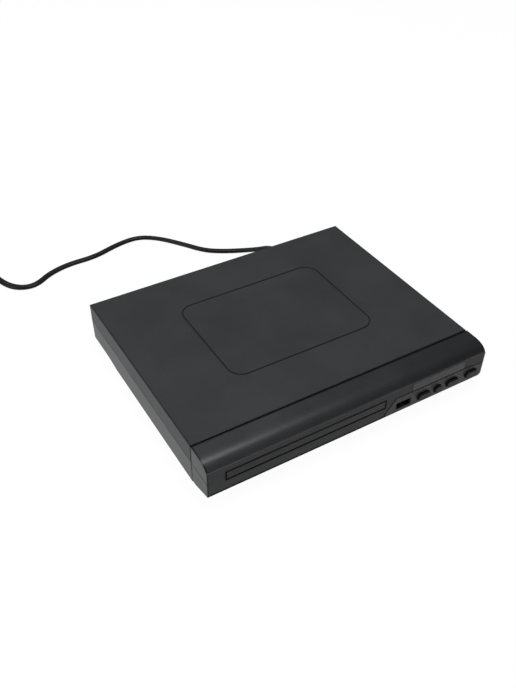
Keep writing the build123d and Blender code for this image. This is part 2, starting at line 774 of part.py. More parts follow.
def sled_motor_place():
    """Centre of the sled motor, one gear distance away."""
    distance = sled_module * (sled_wheel_teeth + sled_motor_teeth) / 2
    x, y = sled_gear_place()
    angle = math.radians(-40)
    return (x + distance * math.cos(angle), y + distance * math.sin(angle))


def make_traverse_frame():
    x0, x1 = traverse_span
    y0 = seam_y + traverse_front
    y1 = seam_y + traverse_rear
    low = base + plate_bottom
    plate_top = low + plate_thick
    rim = base + 15.4
    frame = rounded_slab(x0, x1, y0, y1, low, rim, 3.0)
    frame -= rounded_slab(x0 + 2, x1 - 2, y0 + 2, y1 - 2, plate_top, rim + 1, 1.5)
    hole_x0 = tray_centre_x - rod_offset - 4.5
    hole_x1 = tray_centre_x + rod_offset + 4.5
    frame -= box(hole_x0, hole_x1, lens_y() - 12, seam_y + 117.5, low - 1, plate_top + 1)
    # rod seats at both ends
    for side in (-1, 1):
        x = tray_centre_x + side * rod_offset
        for y_a, y_b in ((lens_y() - 16.5, lens_y() - 11.5), (seam_y + 117.5, seam_y + 121.5)):
            frame += box(x - 3, x + 3, y_a, y_b, plate_top - 0.5, base + rod_height + rod_radius + 1.2)
        frame -= rod_along_y(x, lens_y() - 15.5, seam_y + 120.5, base + rod_height, rod_radius + 0.02)
    for x in lift_pins_x:
        frame += rod_along_y(x, seam_y + 21.5, y0 + 1, base + lift_pin_height, lift_pin_radius)
    frame += rod_along_x(x0 - 4.2, x0 + 1, seam_y + pivot_y, base + pivot_height, 2.0)
    frame += rod_along_x(x1 - 1, x1 + 4.2, seam_y + pivot_y, base + pivot_height, 2.0)
    gear_x, gear_y = sled_gear_place()
    frame += post(gear_x, gear_y, plate_top - 0.5, plate_top + 0.6, 3.4)
    frame -= post(gear_x, gear_y, low - 1, plate_top + 5, 2.0 + shaft_gap)
    motor_x, motor_y = sled_motor_place()
    frame -= post(motor_x, motor_y, low - 1, plate_top + 1, 2.4)
    return lowered(frame)


def make_spindle_motor():
    """The disc motor on the traverse's plate, with its shaft standing up."""
    seat = base + plate_bottom + plate_thick
    can = post(tray_centre_x, spindle_y, seat, seat + 5.4, 10.8)
    can = fillet(can.edges().sort_by(Axis.Z)[-1:], 1.0)
    return lowered(can + post(tray_centre_x, spindle_y, seat + 5, base + disc_seat - 0.6, 1.0))


def make_turntable():
    x = tray_centre_x
    table = post(x, spindle_y, base + 16.9, base + 20.0, 6.0)
    table += post(x, spindle_y, base + 19.9, base + disc_seat, turntable_radius)
    cone = Pos(x, spindle_y, base + disc_seat + 0.75) * Cone(7.3, 6.2, 1.5)
    table += cone
    ring = post(x, spindle_y, base + disc_seat - 0.4, base + disc_seat + 1, 13.0) - post(x, spindle_y, base, top_z, 12.4)
    table -= ring
    return lowered(table - post(x, spindle_y, base + 16, base + disc_seat - 0.4, 1.0 + shaft_gap))


def make_guide_rods():
    """Two polished rods that the pickup slides on, as one pair."""
    rods = []
    for side in (-1, 1):
        x = tray_centre_x + side * rod_offset
        rods.append(lowered(rod_along_y(x, lens_y() - 15.4, seam_y + 120.4, base + rod_height, rod_radius)))
    return Compound(rods)


def make_optical_pickup():
    y = lens_y()
    x = tray_centre_x
    edge = rod_offset + 2.6
    body = box(x - edge, x + edge, y - 10, y + 10, base + 8.6, base + 16.4)
    body = chamfer(body.edges().filter_by(Axis.Z), 1.5)
    body -= box(x - 11, x + 11, y - 7.5, y + 7.5, base + 15.2, base + 17)
    body += post(x, y, base + 15, base + 17.6, 5.4)
    body -= post(x, y, base + 16, base + 20, 3.35)
    # the arm that carries the feed rack
    gear_x, gear_y = sled_gear_place()
    pitch_x = gear_x - sled_module * sled_pinion_teeth / 2
    rack = rack_face(gear_y, y - 26, y + 18, sled_module, pitch_x, 3.6, 1)
    low = base + 11.8
    body += box(x + edge - 2, pitch_x - 1.2, y - 6, y + 6, base + 13.4, base + 15.4)
    body += along_z(rack, low, base + 14.6)
    for side in (-1, 1):
        rod_x = x + side * rod_offset
        body -= rod_along_y(rod_x, y - 11, y + 11, base + rod_height, rod_radius + shaft_gap)
    return lowered(body)


def make_pickup_lens():
    """The lens in its ring, let into the pickup's collar."""
    lens = post(tray_centre_x, lens_y(), base + 16.0, base + 18.4, 3.3)
    dome = Pos(tray_centre_x, lens_y(), base + 15.2) * Sphere(4.2) & box(-60, 0, -100, 100, base + 18.0, base + 19.4)
    return lowered(lens + dome)


def make_sled_motor():
    x, y = sled_motor_place()
    seat = base + plate_bottom + plate_thick
    can = post(x, y, seat, seat + 6.0, 6.4)
    can = fillet(can.edges().sort_by(Axis.Z)[-1:], 0.8)
    return lowered(can + post(x, y, base + 7.4, seat + 1, 0.9))


def sled_mesh_angle():
    """Direction from the sled gear to the motor's pinion."""
    return -40.0


def make_sled_motor_pinion():
    x, y = sled_motor_place()
    turn = sled_mesh_angle() + 180.0
    pinion = along_z(Pos(x, y) * gear_face(sled_motor_teeth, sled_module, turn), base + 7.2, base + 8.9)
    return lowered(pinion - post(x, y, base, top_z, 0.9 + shaft_gap))


def make_sled_gear():
    """A wheel under the plate and, on the same shaft, the pinion that drives the pickup's rack."""
    x, y = sled_gear_place()
    wheel_turn = sled_mesh_angle() + 180.0 / sled_wheel_teeth
    wheel = along_z(Pos(x, y) * gear_face(sled_wheel_teeth, sled_module, wheel_turn), base + 7.2, base + 8.9)
    shaft = post(x, y, base + 8.5, base + 12.0, 2.0)
    pinion = along_z(Pos(x, y) * gear_face(sled_pinion_teeth, sled_module, 180.0), base + 11.8, base + 14.6)
    return lowered(wheel + shaft + pinion)


def make_cam_slider():
    """The sliding plate whose two slanted slots lift the traverse's pins."""
    y0 = seam_y + 20.8
    drop = (pivot_y - 23.0) * math.sin(math.radians(lift_angle))
    pin_low = base + lift_pin_height - drop
    half_slot = lift_pin_radius + 0.4
    left = lift_pins_x[0] - cam_margin
    right = lift_pins_x[1] + cam_margin + cam_travel
    plate = box(left, right, y0, y0 + 2.6, base + 3.4, base + 16.2)
    for x in lift_pins_x:
        ends = [(x, pin_low), (x + cam_travel, base + lift_pin_height)]
        angle = math.degrees(math.atan2(ends[1][1] - ends[0][1], cam_travel))
        length = math.hypot(cam_travel, ends[1][1] - ends[0][1]) + 2 * half_slot
        middle = ((ends[0][0] + ends[1][0]) / 2, (ends[0][1] + ends[1][1]) / 2)
        slot = Pos(middle[0], middle[1]) * Rot(0, 0, angle) * SlotOverall(length, 2 * half_slot)
        plate -= along_y(slot, y0 - 1, y0 + 4)
    return plate


# ---- boards and sockets ----
def make_main_board():
    (x0, x1), (y0, y1) = main_board_span
    low = base + board_height
    top = low + board_thick
    board = box(x0, x1, seam_y + y0, seam_y + y1, low, top)
    for x, y in board_screw_places(main_board_span):
        board -= post(x, y, low - 1, top + 1, screw_radius + 0.1)
    # the decoder chip, two memories and a row of small filter cans
    board += box(-14, 2, seam_y + y0 + 4, seam_y + y0 + 20, top - 0.2, top + 1.4)
    board += box(-36, -24, seam_y + y0 + 6, seam_y + y0 + 12, top - 0.2, top + 1.0)
    board += box(-54, -42, seam_y + y0 + 6, seam_y + y0 + 12, top - 0.2, top + 1.0)
    for number in range(5):
        board += post(-96 + number * 8, seam_y + y0 + 10, top - 0.2, top + 5, 2.5)
    board += box(33.5, 38.0, seam_y + y0 + 9, seam_y + y0 + 13, top - 0.2, top + 2.5)
    return board


def make_power_board():
    (x0, x1), (y0, y1) = power_board_span
    low = base + board_height
    board = box(x0, x1, seam_y + y0, seam_y + y1, low, low + board_thick)
    for x, y in board_screw_places(power_board_span):
        board -= post(x, y, low - 1, low + 3, screw_radius + 0.1)
    return board


def board_top():
    """Upper face of both flat boards."""
    return base + board_height + board_thick


def make_transformer():
    """A ferrite transformer: a core about a wound bobbin."""
    x, y, z = 62.0, seam_y + 122.0, board_top()
    core = box(x - 10, x + 10, y - 5, y + 5, z + 1.5, z + 17)
    bobbin = box(x - 7, x + 7, y - 9, y + 9, z + 3, z + 15.5)
    return core + bobbin + box(x - 10, x + 10, y - 9, y + 9, z, z + 2)


def make_capacitors():
    """The filter capacitors on the power board."""
    cans = []
    for x, y, radius, height in ((88, 118, 7.5, 19.0), (80, 141, 4.0, 12.0), (91, 141, 4.0, 12.0), (54, 146, 4.0, 12.0)):
        can = post(x, seam_y + y, board_top(), board_top() + height, radius)
        cans.append(fillet(can.edges().sort_by(Axis.Z)[-1:], 0.6))
    return Compound(cans)


def make_heat_sink():
    """A folded plate with fins beside the transformer."""
    y = seam_y + 104.0
    z = board_top()
    sink = box(50, 84, y, y + 1.5, z, z + 18)
    for fin in range(6):
        x = 52 + fin * 5.6
        sink += box(x, x + 1.2, y - 4, y + 0.5, z + 5, z + 18)
    return sink


def make_front_board():
    y0 = front_board_y()
    board = box(32.5, 116.0, y0, y0 + board_thick, base + wall + 0.1 + 1.8, base + 28.0)
    return board + box(33.5, 40.0, y0 + board_thick - 0.2, y0 + board_thick + 2.2, base + 14, base + 18)


def make_tact_switches():
    """One push switch behind each button."""
    switches = []
    for x, z, _ in buttons.values():
        body = box(x - 3, x + 3, front_board_y() - 3.5, front_board_y(), base + z - 3, base + z + 3)
        switches.append(body + rod_along_y(x, switch_tip_y() + 0.9, front_board_y() - 3, base + z, 1.7))
    return Compound(switches)


def make_display_module():
    """The numeric display behind the window."""
    x0 = window_span[0] + 4.0
    x1 = window_span[1] - 4.0
    return box(x0, x1, front_board_y() - 8.0, front_board_y(), base + 20.6, base + 27.4)


def make_front_cable():
    """The flat cable between the two boards: down, along the tub's floor and up again."""
    thick = 0.6
    y_front = front_board_y() + board_thick + 2.3
    y_back = seam_y + main_board_span[1][0] + 11.0
    z_front = base + 15.0
    z_back = board_top() + 3.0
    low = base + 3.0
    centre = [
        (y_front, z_front),
        (y_front + 5, z_front - 2),
        (y_front + 10, low + 1),
        (y_front + 18, low),
        (y_back - 30, low),
        (y_back - 20, z_back - 3),
        (y_back - 12, z_back),
        (y_back, z_back),
    ]
    upper = [(y, z + thick) for y, z in centre]
    return along_x(outline(centre + upper[::-1]), 34.2, 39.2)


def make_jack(x):
    """A round socket: its block on the board and its barrel through the panel, with the contact's bore."""
    panel_front = rear_y - panel_lip - shell_gap - panel_thick
    z = jack_height
    block = box(x - 5.5, x + 5.5, panel_front - 11, panel_front - 0.2, board_top(), z + 5.6)
    collar = rod_along_y(x, panel_front - 1, rear_y, z, jack_radius + jack_collar)
    barrel = rod_along_y(x, rear_y - 1, rear_y + jack_stand, z, jack_radius)
    return block + collar + barrel - rod_along_y(x, rear_y - 4, rear_y + jack_stand + 1, z, jack_bore)


def make_hdmi_socket():
    y1 = rear_y - panel_lip
    y0 = y1 - 12.0
    low = hdmi_low()
    width, height = hdmi_size
    corner = 1.6
    def ring(grow):
        x0 = hdmi_x - width / 2 + grow
        x1 = hdmi_x + width / 2 - grow
        z0 = low + grow
        z1 = low + height - grow
        return outline([(x0 + corner, z0), (x1 - corner, z0), (x1, z0 + corner), (x1, z1), (x0, z1), (x0, z0 + corner)])
    shell = along_y(ring(0), y0, y1) - along_y(ring(0.4), y0 + 1.5, y1 + 1)
    tongue = box(hdmi_x - 5.2, hdmi_x + 5.2, y0 + 1, y1 - 1.5, low + 2.4, low + 3.5)
    base_block = box(hdmi_x - 5, hdmi_x + 5, y0, y1 - 2.5, board_top(), low + 0.2)
    return shell + tongue + base_block


# ---- screws ----
def make_case_screws():
    """Four long screws that join the tub and the cover from below."""
    screws = []
    for x, y in screw_places():
        head = post(x, y, base + 0.7, base + 2.4, 2.6)
        screws.append(head + post(x, y, base + 2.2, parting_z + 7, screw_radius))
    return Compound(screws)


def make_loader_screws():
    """Four screws through the loader's ears."""
    screws = []
    top = base + deck_height + 2.0
    for x, y in ear_screw_places():
        screws.append(post(x, y, top, top + 1.6, 2.6) + post(x, y, top - 5.5, top + 0.5, screw_radius - 0.35))
    return Compound(screws)


def make_board_screws():
    """Eight screws that hold the two flat boards."""
    screws = []
    top = board_top()
    for x, y in board_screw_places(main_board_span) + board_screw_places(power_board_span):
        screws.append(post(x, y, top, top + 1.6, 2.6) + post(x, y, top - 5.0, top + 0.5, screw_radius - 0.35))
    return Compound(screws)


# ---- cord ----
def make_strain_relief():
    """The tapered bushing: a grip in the panel's hole and a ribbed boot behind it."""
    y_out = rear_y - panel_lip - shell_gap
    y_in = y_out - panel_thick
    neck = rod_along_y(cord_exit_x, y_in - 3, y_out + 1, cord_exit_height, neck_radius())
    inside = rod_along_y(cord_exit_x, y_in - 3, y_in - 0.1, cord_exit_height, neck_radius() + 1.4)
    flange = rod_along_y(cord_exit_x, y_out + 0.1, y_out + 1.7, cord_exit_height, neck_radius() + 1.6)
    length = boot_length
    middle = Pos(cord_exit_x, y_out + 1.7 + length / 2, cord_exit_height)
    boot = middle * Rot(-90, 0, 0) * Cone(neck_radius() + 0.3, cord_diameter / 2 + 0.9, length)
    return neck + inside + flange + boot


def boot_end_y():
    """Where the cord comes out of its boot."""
    return rear_y - panel_lip - shell_gap + 1.7 + boot_length


cord_lie = cord_diameter / 2
coil_pitch = cord_diameter
coil_outer = coil_middle + coil_pitch * (coil_turns - 1) / 2
coil_leave = 21.0           # how far from the coil's middle line its straight ends begin
coil_join = (coil_centre[0] + coil_outer, coil_centre[1] - coil_leave)
cord_route = [
    (cord_exit_x, boot_end_y(), cord_exit_height),
    (cord_exit_x, boot_end_y() + 12.0, cord_exit_height),
    (62.0, boot_end_y() + 26.0, 10.0),
    (50.0, boot_end_y() + 34.0, 5.0),
    (36.0, 154.5, cord_lie + 0.1),
    (20.0, 166.5, cord_lie),
    (6.5, 187.0, cord_lie + 0.02),
    (-10.0, 208.5, cord_lie),
    (-27.0, 220.0, cord_lie + 0.02),
    (-50.0, 217.5, cord_lie),
    (-75.0, 209.0, cord_lie + 0.02),
    (-101.0, 209.5, cord_lie),
    (-121.5, 203.5, cord_lie + 0.02),
    (-135.5, 193.5, cord_lie),
    (-147.0, 192.3, cord_lie + 0.02),
    (-157.2, 197.6, cord_lie),
    (-163.6, 207.9, cord_lie + 0.02),
    (-165.5, 221.7, cord_lie),
    (coil_join[0], coil_join[1], cord_lie),
]
plug_entry_y = coil_join[1] - 26.0
tail_route = [
    (coil_centre[0] - coil_outer, coil_join[1], cord_lie + coil_pitch),
    (coil_centre[0] - coil_outer, coil_join[1] - 8.0, cord_lie + coil_pitch),
    (coil_centre[0] - coil_outer, coil_join[1] - 18.0, plug_size[2] / 2 + 0.5),
    (coil_centre[0] - coil_outer, plug_entry_y, plug_size[2] / 2 + 0.5),
]


def corner_radii(points):
    """The largest round at each inner point that its two runs allow."""
    places = [Vector(*p) for p in points]
    radii = []
    for before, here, after in zip(places, places[1:], places[2:]):
        turn = (here - before).get_angle(after - here)
        shorter = min((here - before).length, (after - here).length)
        radii.append(0.45 * shorter / math.tan(math.radians(turn) / 2))
    return radii


def cord_tube(points, label):
    """A round tube along straight runs joined by tangent arcs; prints its arcs and compares its volume."""
    radii = corner_radii(points)
    path = FilletPolyline(*points, radius=radii)
    start = Plane(origin=path @ 0, z_dir=path % 0)
    tube = sweep(start * Circle(cord_diameter / 2), path)
    section = math.pi * (cord_diameter / 2) ** 2
    print(label, "radii", [round(r, 1) for r in radii], "length", round(path.length, 1),
          "volume ratio", round(tube.volume / (section * path.length), 4))
    return tube


def make_cord_coil():
    """The wound spare length as one closed ring, with short ends where the cord runs in and out."""
    x, y = coil_centre
    low = 0.1
    height = 2 * coil_pitch - 0.1
    inner = coil_outer - coil_pitch * (coil_turns - 0.5)
    outer = coil_outer + coil_pitch / 2 + 0.15
    section = Pos((inner + outer) / 2, (low + height) / 2) * RectangleRounded(outer - inner, height - low, 2.2)
    ring = Pos(x, y) * revolve(Plane.XZ * section, Axis.Z)
    ring += rod_along_y(coil_join[0], coil_join[1], y, cord_lie, cord_lie)
    out_x = x - coil_outer
    ring += rod_along_y(out_x, coil_join[1], y, cord_lie + coil_pitch, cord_lie)
    return ring


def make_cord_tie():
    """A flat strap round the coil's turns, at the side away from the plug."""
    x, y = coil_centre
    low = 0.0
    thick = 0.9
    inner = coil_outer - coil_pitch * (coil_turns - 0.5) - 0.6
    outer = coil_outer + coil_pitch / 2 + 0.3
    height = 2 * coil_pitch + 0.3
    strap = box(x - 4, x + 4, y + inner - thick, y + outer + thick, low, height + thick)
    return strap - box(x - 5, x + 5, y + inner, y + outer, low - 1, height)


def make_plug_body():
    """A moulded two-pin plug: a waisted grip with a tapered boot towards the cord."""
    x = coil_centre[0] - coil_outer
    width, length, height = plug_size
    y1 = plug_entry_y
    z = height / 2 + 0.5
    grip = rounded_slab(x - width / 2, x + width / 2, y1 - 8 - length * 0.75, y1 - 8, z - height / 2, z + height / 2, 3.0)
    grip = chamfer(grip.edges().filter_by(Plane.XY), 1.2)
    boot = Pos(x, y1 - 4.5, z) * Rot(90, 0, 0) * Cone(cord_diameter / 2 + 0.6, 5.4, 9.0)
    for side in (-1, 1):
        grip -= post(x + side * (width / 2 + 9), y1 - 8 - length * 0.38, 0, height + 2, 10.5)
    return grip + boot


def make_plug_pins():
    """The plug's two flat pins."""
    x = coil_centre[0] - coil_outer
    y0 = plug_entry_y - 8 - plug_size[1] * 0.75
    z = plug_size[2] / 2 + 0.5
    pins = []
    for side in (-1, 1):
        mid = x + side * 6.35
        pin = box(mid - 0.75, mid + 0.75, y0 - 17, y0, z - 3.2, z + 3.2)
        pins.append(pin - rod_along_x(mid - 2, mid + 2, y0 - 13, z, 1.5))
    return Compound(pins)


def main():
    os.makedirs("parts", exist_ok=True)
    save("upper_case", make_upper_case())
    save("lower_case", make_lower_case())
    save("rear_panel", make_rear_panel())
    for side_name, x in (("left", -1), ("right", 1)):
        for end_name, y in (("front", seam_y + foot_inset), ("rear", rear_y - foot_inset)):
            save(f"foot_{end_name}_{side_name}", make_foot(x * (half - foot_side), y))
    save("front_bezel_upper", make_front_bezel_upper())
    save("front_bezel_lower", make_front_bezel_lower())
    save("display_window", make_display_window())
    for name, (x, z, width) in buttons.items():
        save(name, make_button(x, z, width))
    save("usb_shell", make_usb_shell())
    save("usb_insert", make_usb_insert())
    save("tray_door", make_tray_door())
    save("disc_tray", make_disc_tray())
    save("tray_drive_gear", make_tray_drive_gear())
    save("pulley_gear", make_pulley_gear())
    save("motor_pulley", make_motor_pulley())
    save("drive_belt", make_drive_belt())
    save("tray_motor", make_tray_motor())
    save("loader_frame", make_loader_frame())
    save("clamp_bridge", make_clamp_bridge())
    save("clamp_puck", make_clamp_puck())
    save("traverse_frame", make_traverse_frame())
    save("spindle_motor", make_spindle_motor())
    save("turntable", make_turntable())
    save("guide_rods", make_guide_rods())
    save("optical_pickup", make_optical_pickup())
    save("pickup_lens", make_pickup_lens())
    save("sled_motor", make_sled_motor())
    save("sled_motor_pinion", make_sled_motor_pinion())
    save("sled_gear", make_sled_gear())
    save("cam_slider", make_cam_slider())
    save("main_board", make_main_board())
    save("power_board", make_power_board())
    save("transformer", make_transformer())
    save("capacitors", make_capacitors())
    save("heat_sink", make_heat_sink())
    save("front_board", make_front_board())
    save("tact_switches", make_tact_switches())
    save("display_module", make_display_module())
    save("front_cable", make_front_cable())
    for name, x in jacks.items():
        save(name, make_jack(x))
    save("hdmi_socket", make_hdmi_socket())
    save("case_screws", make_case_screws())
    save("loader_screws", make_loader_screws())
    save("board_screws", make_board_screws())
    save("strain_relief", make_strain_relief())
    save("power_cord", cord_tube(cord_route, "power cord"))
    save("cord_tail", cord_tube(tail_route, "cord tail"))
    save("cord_coil", make_cord_coil())
    save("cord_tie", make_cord_tie())
    save("plug_body", make_plug_body())
    save("plug_pins", make_plug_pins())


main()
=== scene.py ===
"""Looks of a low black disc player with its tray, rear sockets and mains cord.

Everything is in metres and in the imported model's own frame: +X to the right seen from the
front, +Y to the rear and +Z up, with the surface that the player stands on at Z = 0.
"""

import logging
import math
from dataclasses import dataclass
from enum import Enum
from typing import ClassVar, Mapping, Optional, Sequence, Union

import bpy
import numpy as np
from mathutils import Matrix, Vector


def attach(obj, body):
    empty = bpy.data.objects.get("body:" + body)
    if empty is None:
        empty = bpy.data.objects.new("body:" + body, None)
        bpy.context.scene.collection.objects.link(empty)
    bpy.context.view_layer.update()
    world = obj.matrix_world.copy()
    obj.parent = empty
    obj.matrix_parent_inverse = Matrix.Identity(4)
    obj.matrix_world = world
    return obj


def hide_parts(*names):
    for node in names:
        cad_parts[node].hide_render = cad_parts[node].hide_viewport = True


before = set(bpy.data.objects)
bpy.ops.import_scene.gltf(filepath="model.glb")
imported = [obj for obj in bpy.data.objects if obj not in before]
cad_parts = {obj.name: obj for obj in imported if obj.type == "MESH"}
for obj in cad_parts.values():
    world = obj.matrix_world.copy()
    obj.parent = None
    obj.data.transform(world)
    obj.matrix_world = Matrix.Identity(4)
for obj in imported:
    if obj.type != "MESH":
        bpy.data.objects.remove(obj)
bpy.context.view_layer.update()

logging.basicConfig(level=logging.INFO, format="%(message)s")
log = logging.getLogger("player")

Pair = tuple[float, float]
Triple = tuple[float, float, float]
Operand = Union["Signal", float, int]
Paint = Union["Signal", Triple]

MM = 0.001
NOISE_ROUGHNESS = 0.55
WAVE_LENGTH = 0.314  # how far apart the bands of a wave texture are at a scale of 1
BEVEL_SAMPLES = 4
ENCLOSURE_SAMPLES = 8
EDGE_GAIN = 3.0  # how soon the mask of the rounded edges reaches 1


def tone(red: float, green: float, blue: float) -> Triple:
    """Turn a colour as a screen shows it, 0 to 255, into the linear values of a shader."""
    shown = np.array([red, green, blue]) / 255.0
    linear = np.where(shown <= 0.04045, shown / 12.92, ((shown + 0.055) / 1.055) ** 2.4)
    return tuple(float(value) for value in linear)


def scaled(colour: Triple, factor: float, lift: float = 0.0) -> Triple:
    """Multiply a colour by a factor, then add the same amount to each channel."""
    return tuple(channel * factor + lift for channel in colour)


DUST = tone(150, 148, 142)


# ---- shader maths ----
class Axis(Enum):
    """A coordinate axis, under the name that Blender's nodes use."""

    X = "X"
    Y = "Y"
    Z = "Z"


class Cells(Enum):
    """What a pattern of scattered cells measures the distance from."""

    MIDDLE = "F1"
    SOFT_MIDDLE = "SMOOTH_F1"
    BORDER = "DISTANCE_TO_EDGE"


class Signal:
    """A node's output that takes part in arithmetic; each operator adds one Math node."""

    def __init__(self, graph: "Graph", socket: bpy.types.NodeSocket) -> None:
        """Keep the output and the graph that new nodes go to."""
        self.graph = graph
        self.socket = socket

    def _math(self, operation: str, first: Operand, second: Operand) -> "Signal":
        """Add a Math node with two values or links."""
        return self.graph.add("ShaderNodeMath", {"operation": operation}, {0: first, 1: second})

    def __add__(self, value: Operand) -> "Signal":
        """This signal plus a value."""
        return self._math("ADD", self, value)

    def __radd__(self, value: Operand) -> "Signal":
        """A value plus this signal."""
        return self._math("ADD", value, self)

    def __sub__(self, value: Operand) -> "Signal":
        """This signal minus a value."""
        return self._math("SUBTRACT", self, value)

    def __rsub__(self, value: Operand) -> "Signal":
        """A value minus this signal."""
        return self._math("SUBTRACT", value, self)

    def __mul__(self, value: Operand) -> "Signal":
        """This signal times a value."""
        return self._math("MULTIPLY", self, value)

    def __rmul__(self, value: Operand) -> "Signal":
        """A value times this signal."""
        return self._math("MULTIPLY", value, self)

    def __truediv__(self, value: Operand) -> "Signal":
        """This signal divided by a value."""
        return self._math("DIVIDE", self, value)

    def other(self, name: str) -> "Signal":
        """Another output of the same node."""
        return Signal(self.graph, self.socket.node.outputs[name])

    def capped(self) -> "Signal":
        """This signal held between 0 and 1."""
        return self.graph.add("ShaderNodeClamp", {}, {"Value": self})

    def ramp(self, low: float, high: float) -> "Signal":
        """A smooth step.

        Args:
            low: the value that gives 0.
            high: the value that gives 1.

        Returns:
            The stepped signal.
        """
        return self.graph.add(
            "ShaderNodeMapRange",
            {"interpolation_type": "SMOOTHSTEP"},
            {"Value": self, "From Min": low, "From Max": high},
        )

    def within(self, low: float, high: float, blend: float) -> "Signal":
        """A plateau.

        Args:
            low: where it begins.
            high: where it ends.
            blend: how far to each side of both places the step between 0 and 1 reaches.

        Returns:
            1 between the two values and 0 outside them.
        """
        start = self.ramp(low - blend, low + blend)
        return start * (1 - self.ramp(high - blend, high + blend))


class Graph:
    """A node tree, of a material or of the sky, in which every node comes from add()."""

    def __init__(self, owner: Union[bpy.types.Material, bpy.types.World]) -> None:
        """Empty the owner's node tree and keep it."""
        owner.use_nodes = True
        self.tree = owner.node_tree
        self.tree.nodes.clear()

    def add(
        self,
        kind: str,
        settings: Optional[Mapping[str, object]] = None,
        values: Optional[Mapping[Union[str, int], object]] = None,
        output: Union[str, int] = 0,
    ) -> Signal:
        """Add a node of any type.

        Args:
            kind: the node's Blender type.
            settings: its own properties, set before its sockets.
            values: numbers, colours or signals for its sockets, by name or number.
            output: which output comes back.

        Returns:
            That output, ready for arithmetic, or the first input of a node without outputs.
        """
        node = self.tree.nodes.new(kind)
        for name, setting in (settings or {}).items():
            setattr(node, name, setting)
        for name, value in (values or {}).items():
            socket = node.inputs[name]
            if isinstance(value, Signal):
                self.tree.links.new(value.socket, socket)
            else:
                socket.default_value = value
        return Signal(self, node.outputs[output] if len(node.outputs) else node.inputs[0])

    def place(self) -> Signal:
        """The point in the object's own metres."""
        return self.add("ShaderNodeTexCoord", output="Object")

    def along(self, axis: Axis) -> Signal:
        """One coordinate of the point."""
        return self.add("ShaderNodeSeparateXYZ", {}, {0: self.place()}, axis.value)

    def facing(self) -> Signal:
        """The surface's own normal, before any bump."""
        return self.add("ShaderNodeNewGeometry", output="Normal")

    def upward(self) -> Signal:
        """1 where the surface faces up, 0 where it is upright or faces down."""
        return self.add("ShaderNodeSeparateXYZ", {}, {0: self.facing()}, "Z").capped()

    def stretched(self, scale: Triple, turn: float = 0.0) -> Signal:
        """The point scaled along each axis, so that a pattern is drawn out.

        Args:
            scale: the factor along X, Y and Z.
            turn: an angle about Z, in radians, before the scaling.

        Returns:
            The changed point.
        """
        return self.add(
            "ShaderNodeMapping",
            {"vector_type": "POINT"},
            {"Vector": self.place(), "Rotation": (0.0, 0.0, turn), "Scale": scale},
        )

    def noise(self, size: float, detail: float = 2.0, where: Optional[Signal] = None) -> Signal:
        """Cloudy noise.

        Args:
            size: how many metres its patches are across, roughly.
            detail: how many finer layers lie over the first.
            where: the point that it is read at, or none for the object's own.

        Returns:
            A value from 0 to 1.
        """
        values = {
            "Vector": where or self.place(),
            "Scale": 1.0 / size,
            "Detail": detail,
            "Roughness": NOISE_ROUGHNESS,
        }
        return self.add("ShaderNodeTexNoise", {"noise_dimensions": "3D"}, values)

    def cells(
        self,
        size: float,
        kind: Cells = Cells.MIDDLE,
        where: Optional[Signal] = None,
        scatter: float = 1.0,
    ) -> Signal:
        """Scattered cells.

        Args:
            size: how many metres they are apart.
            kind: what the distance is measured from.
            where: the point that it is read at, or none for the object's own.
            scatter: 0 for a regular grid and 1 for cells that lie anywhere.

        Returns:
            The distance, in cell widths.
        """
        values = {"Vector": where or self.place(), "Scale": 1.0 / size, "Randomness": scatter}
        return self.add("ShaderNodeTexVoronoi", {"feature": kind.value}, values, "Distance")

    def bands(self, width: float, axis: Axis) -> Signal:
        """Straight rounded bands across an axis, each that many metres wide."""
        settings = {"wave_type": "BANDS", "bands_direction": axis.value, "wave_profile": "SIN"}
        values = {"Vector": self.place(), "Scale": WAVE_LENGTH / width}
        return self.add("ShaderNodeTexWave", settings, values, "Fac")

    def rounded(self, radius: float) -> Signal:
        """The normal as it would be with every edge rounded to that radius."""
        return self.add("ShaderNodeBevel", {"samples": BEVEL_SAMPLES}, {"Radius": radius})

    def depth(self, reach: float) -> Signal:
        """How enclosed a point is within that many metres: 0 in the open, near 1 in a gap."""
        settings = {"samples": ENCLOSURE_SAMPLES}
        return 1 - self.add("ShaderNodeAmbientOcclusion", settings, {"Distance": reach}, "AO")

    def crest(self, reach: float) -> Signal:
        """How near an outer edge or rounding is, looking that far inwards: 0 on a flat wall."""
        settings = {"samples": ENCLOSURE_SAMPLES, "inside": True}
        return 1 - self.add("ShaderNodeAmbientOcclusion", settings, {"Distance": reach}, "AO")

    def edges(self, soft: Signal) -> Signal:
        """How close a point is to an edge, from how far the rounded normal leans.

        Args:
            soft: the rounded normal.

        Returns:
            0 on a flat face and up to 1 on an edge.
        """
        settings = {"operation": "DOT_PRODUCT"}
        same = self.add("ShaderNodeVectorMath", settings, {0: soft, 1: self.facing()}, "Value")
        return ((1 - same) * EDGE_GAIN).capped()

    def mixed(self, amount: Operand, first: Paint, second: Paint) -> Signal:
        """Mix two colours.

        Args:
            amount: 0 for the first and 1 for the second.
            first: a colour or a signal.
            second: a colour or a signal.

        Returns:
            The mixed colour.
        """
        settings = {"data_type": "RGBA", "clamp_factor": True}
        values = {0: amount, 6: self._opaque(first), 7: self._opaque(second)}
        return self.add("ShaderNodeMix", settings, values, 2)

    @staticmethod
    def _opaque(paint: Paint) -> object:
        """Add full opacity to a colour; a signal stays as it is."""
        return paint if isinstance(paint, Signal) else (*paint, 1.0)

    def bumped(self, height: Signal, depth: float, base: Optional[Signal] = None) -> Signal:
        """A normal bent by a height.

        Args:
            height: the pattern, from 0 to 1.
            depth: how many metres the pattern stands for.
            base: the normal that it bends, or none for the surface's own.

        Returns:
            The new normal.
        """
        values = {"Height": height, "Distance": depth, "Strength": 1.0}
        if base is not None:
            values["Normal"] = base
        return self.add("ShaderNodeBump", {}, values)

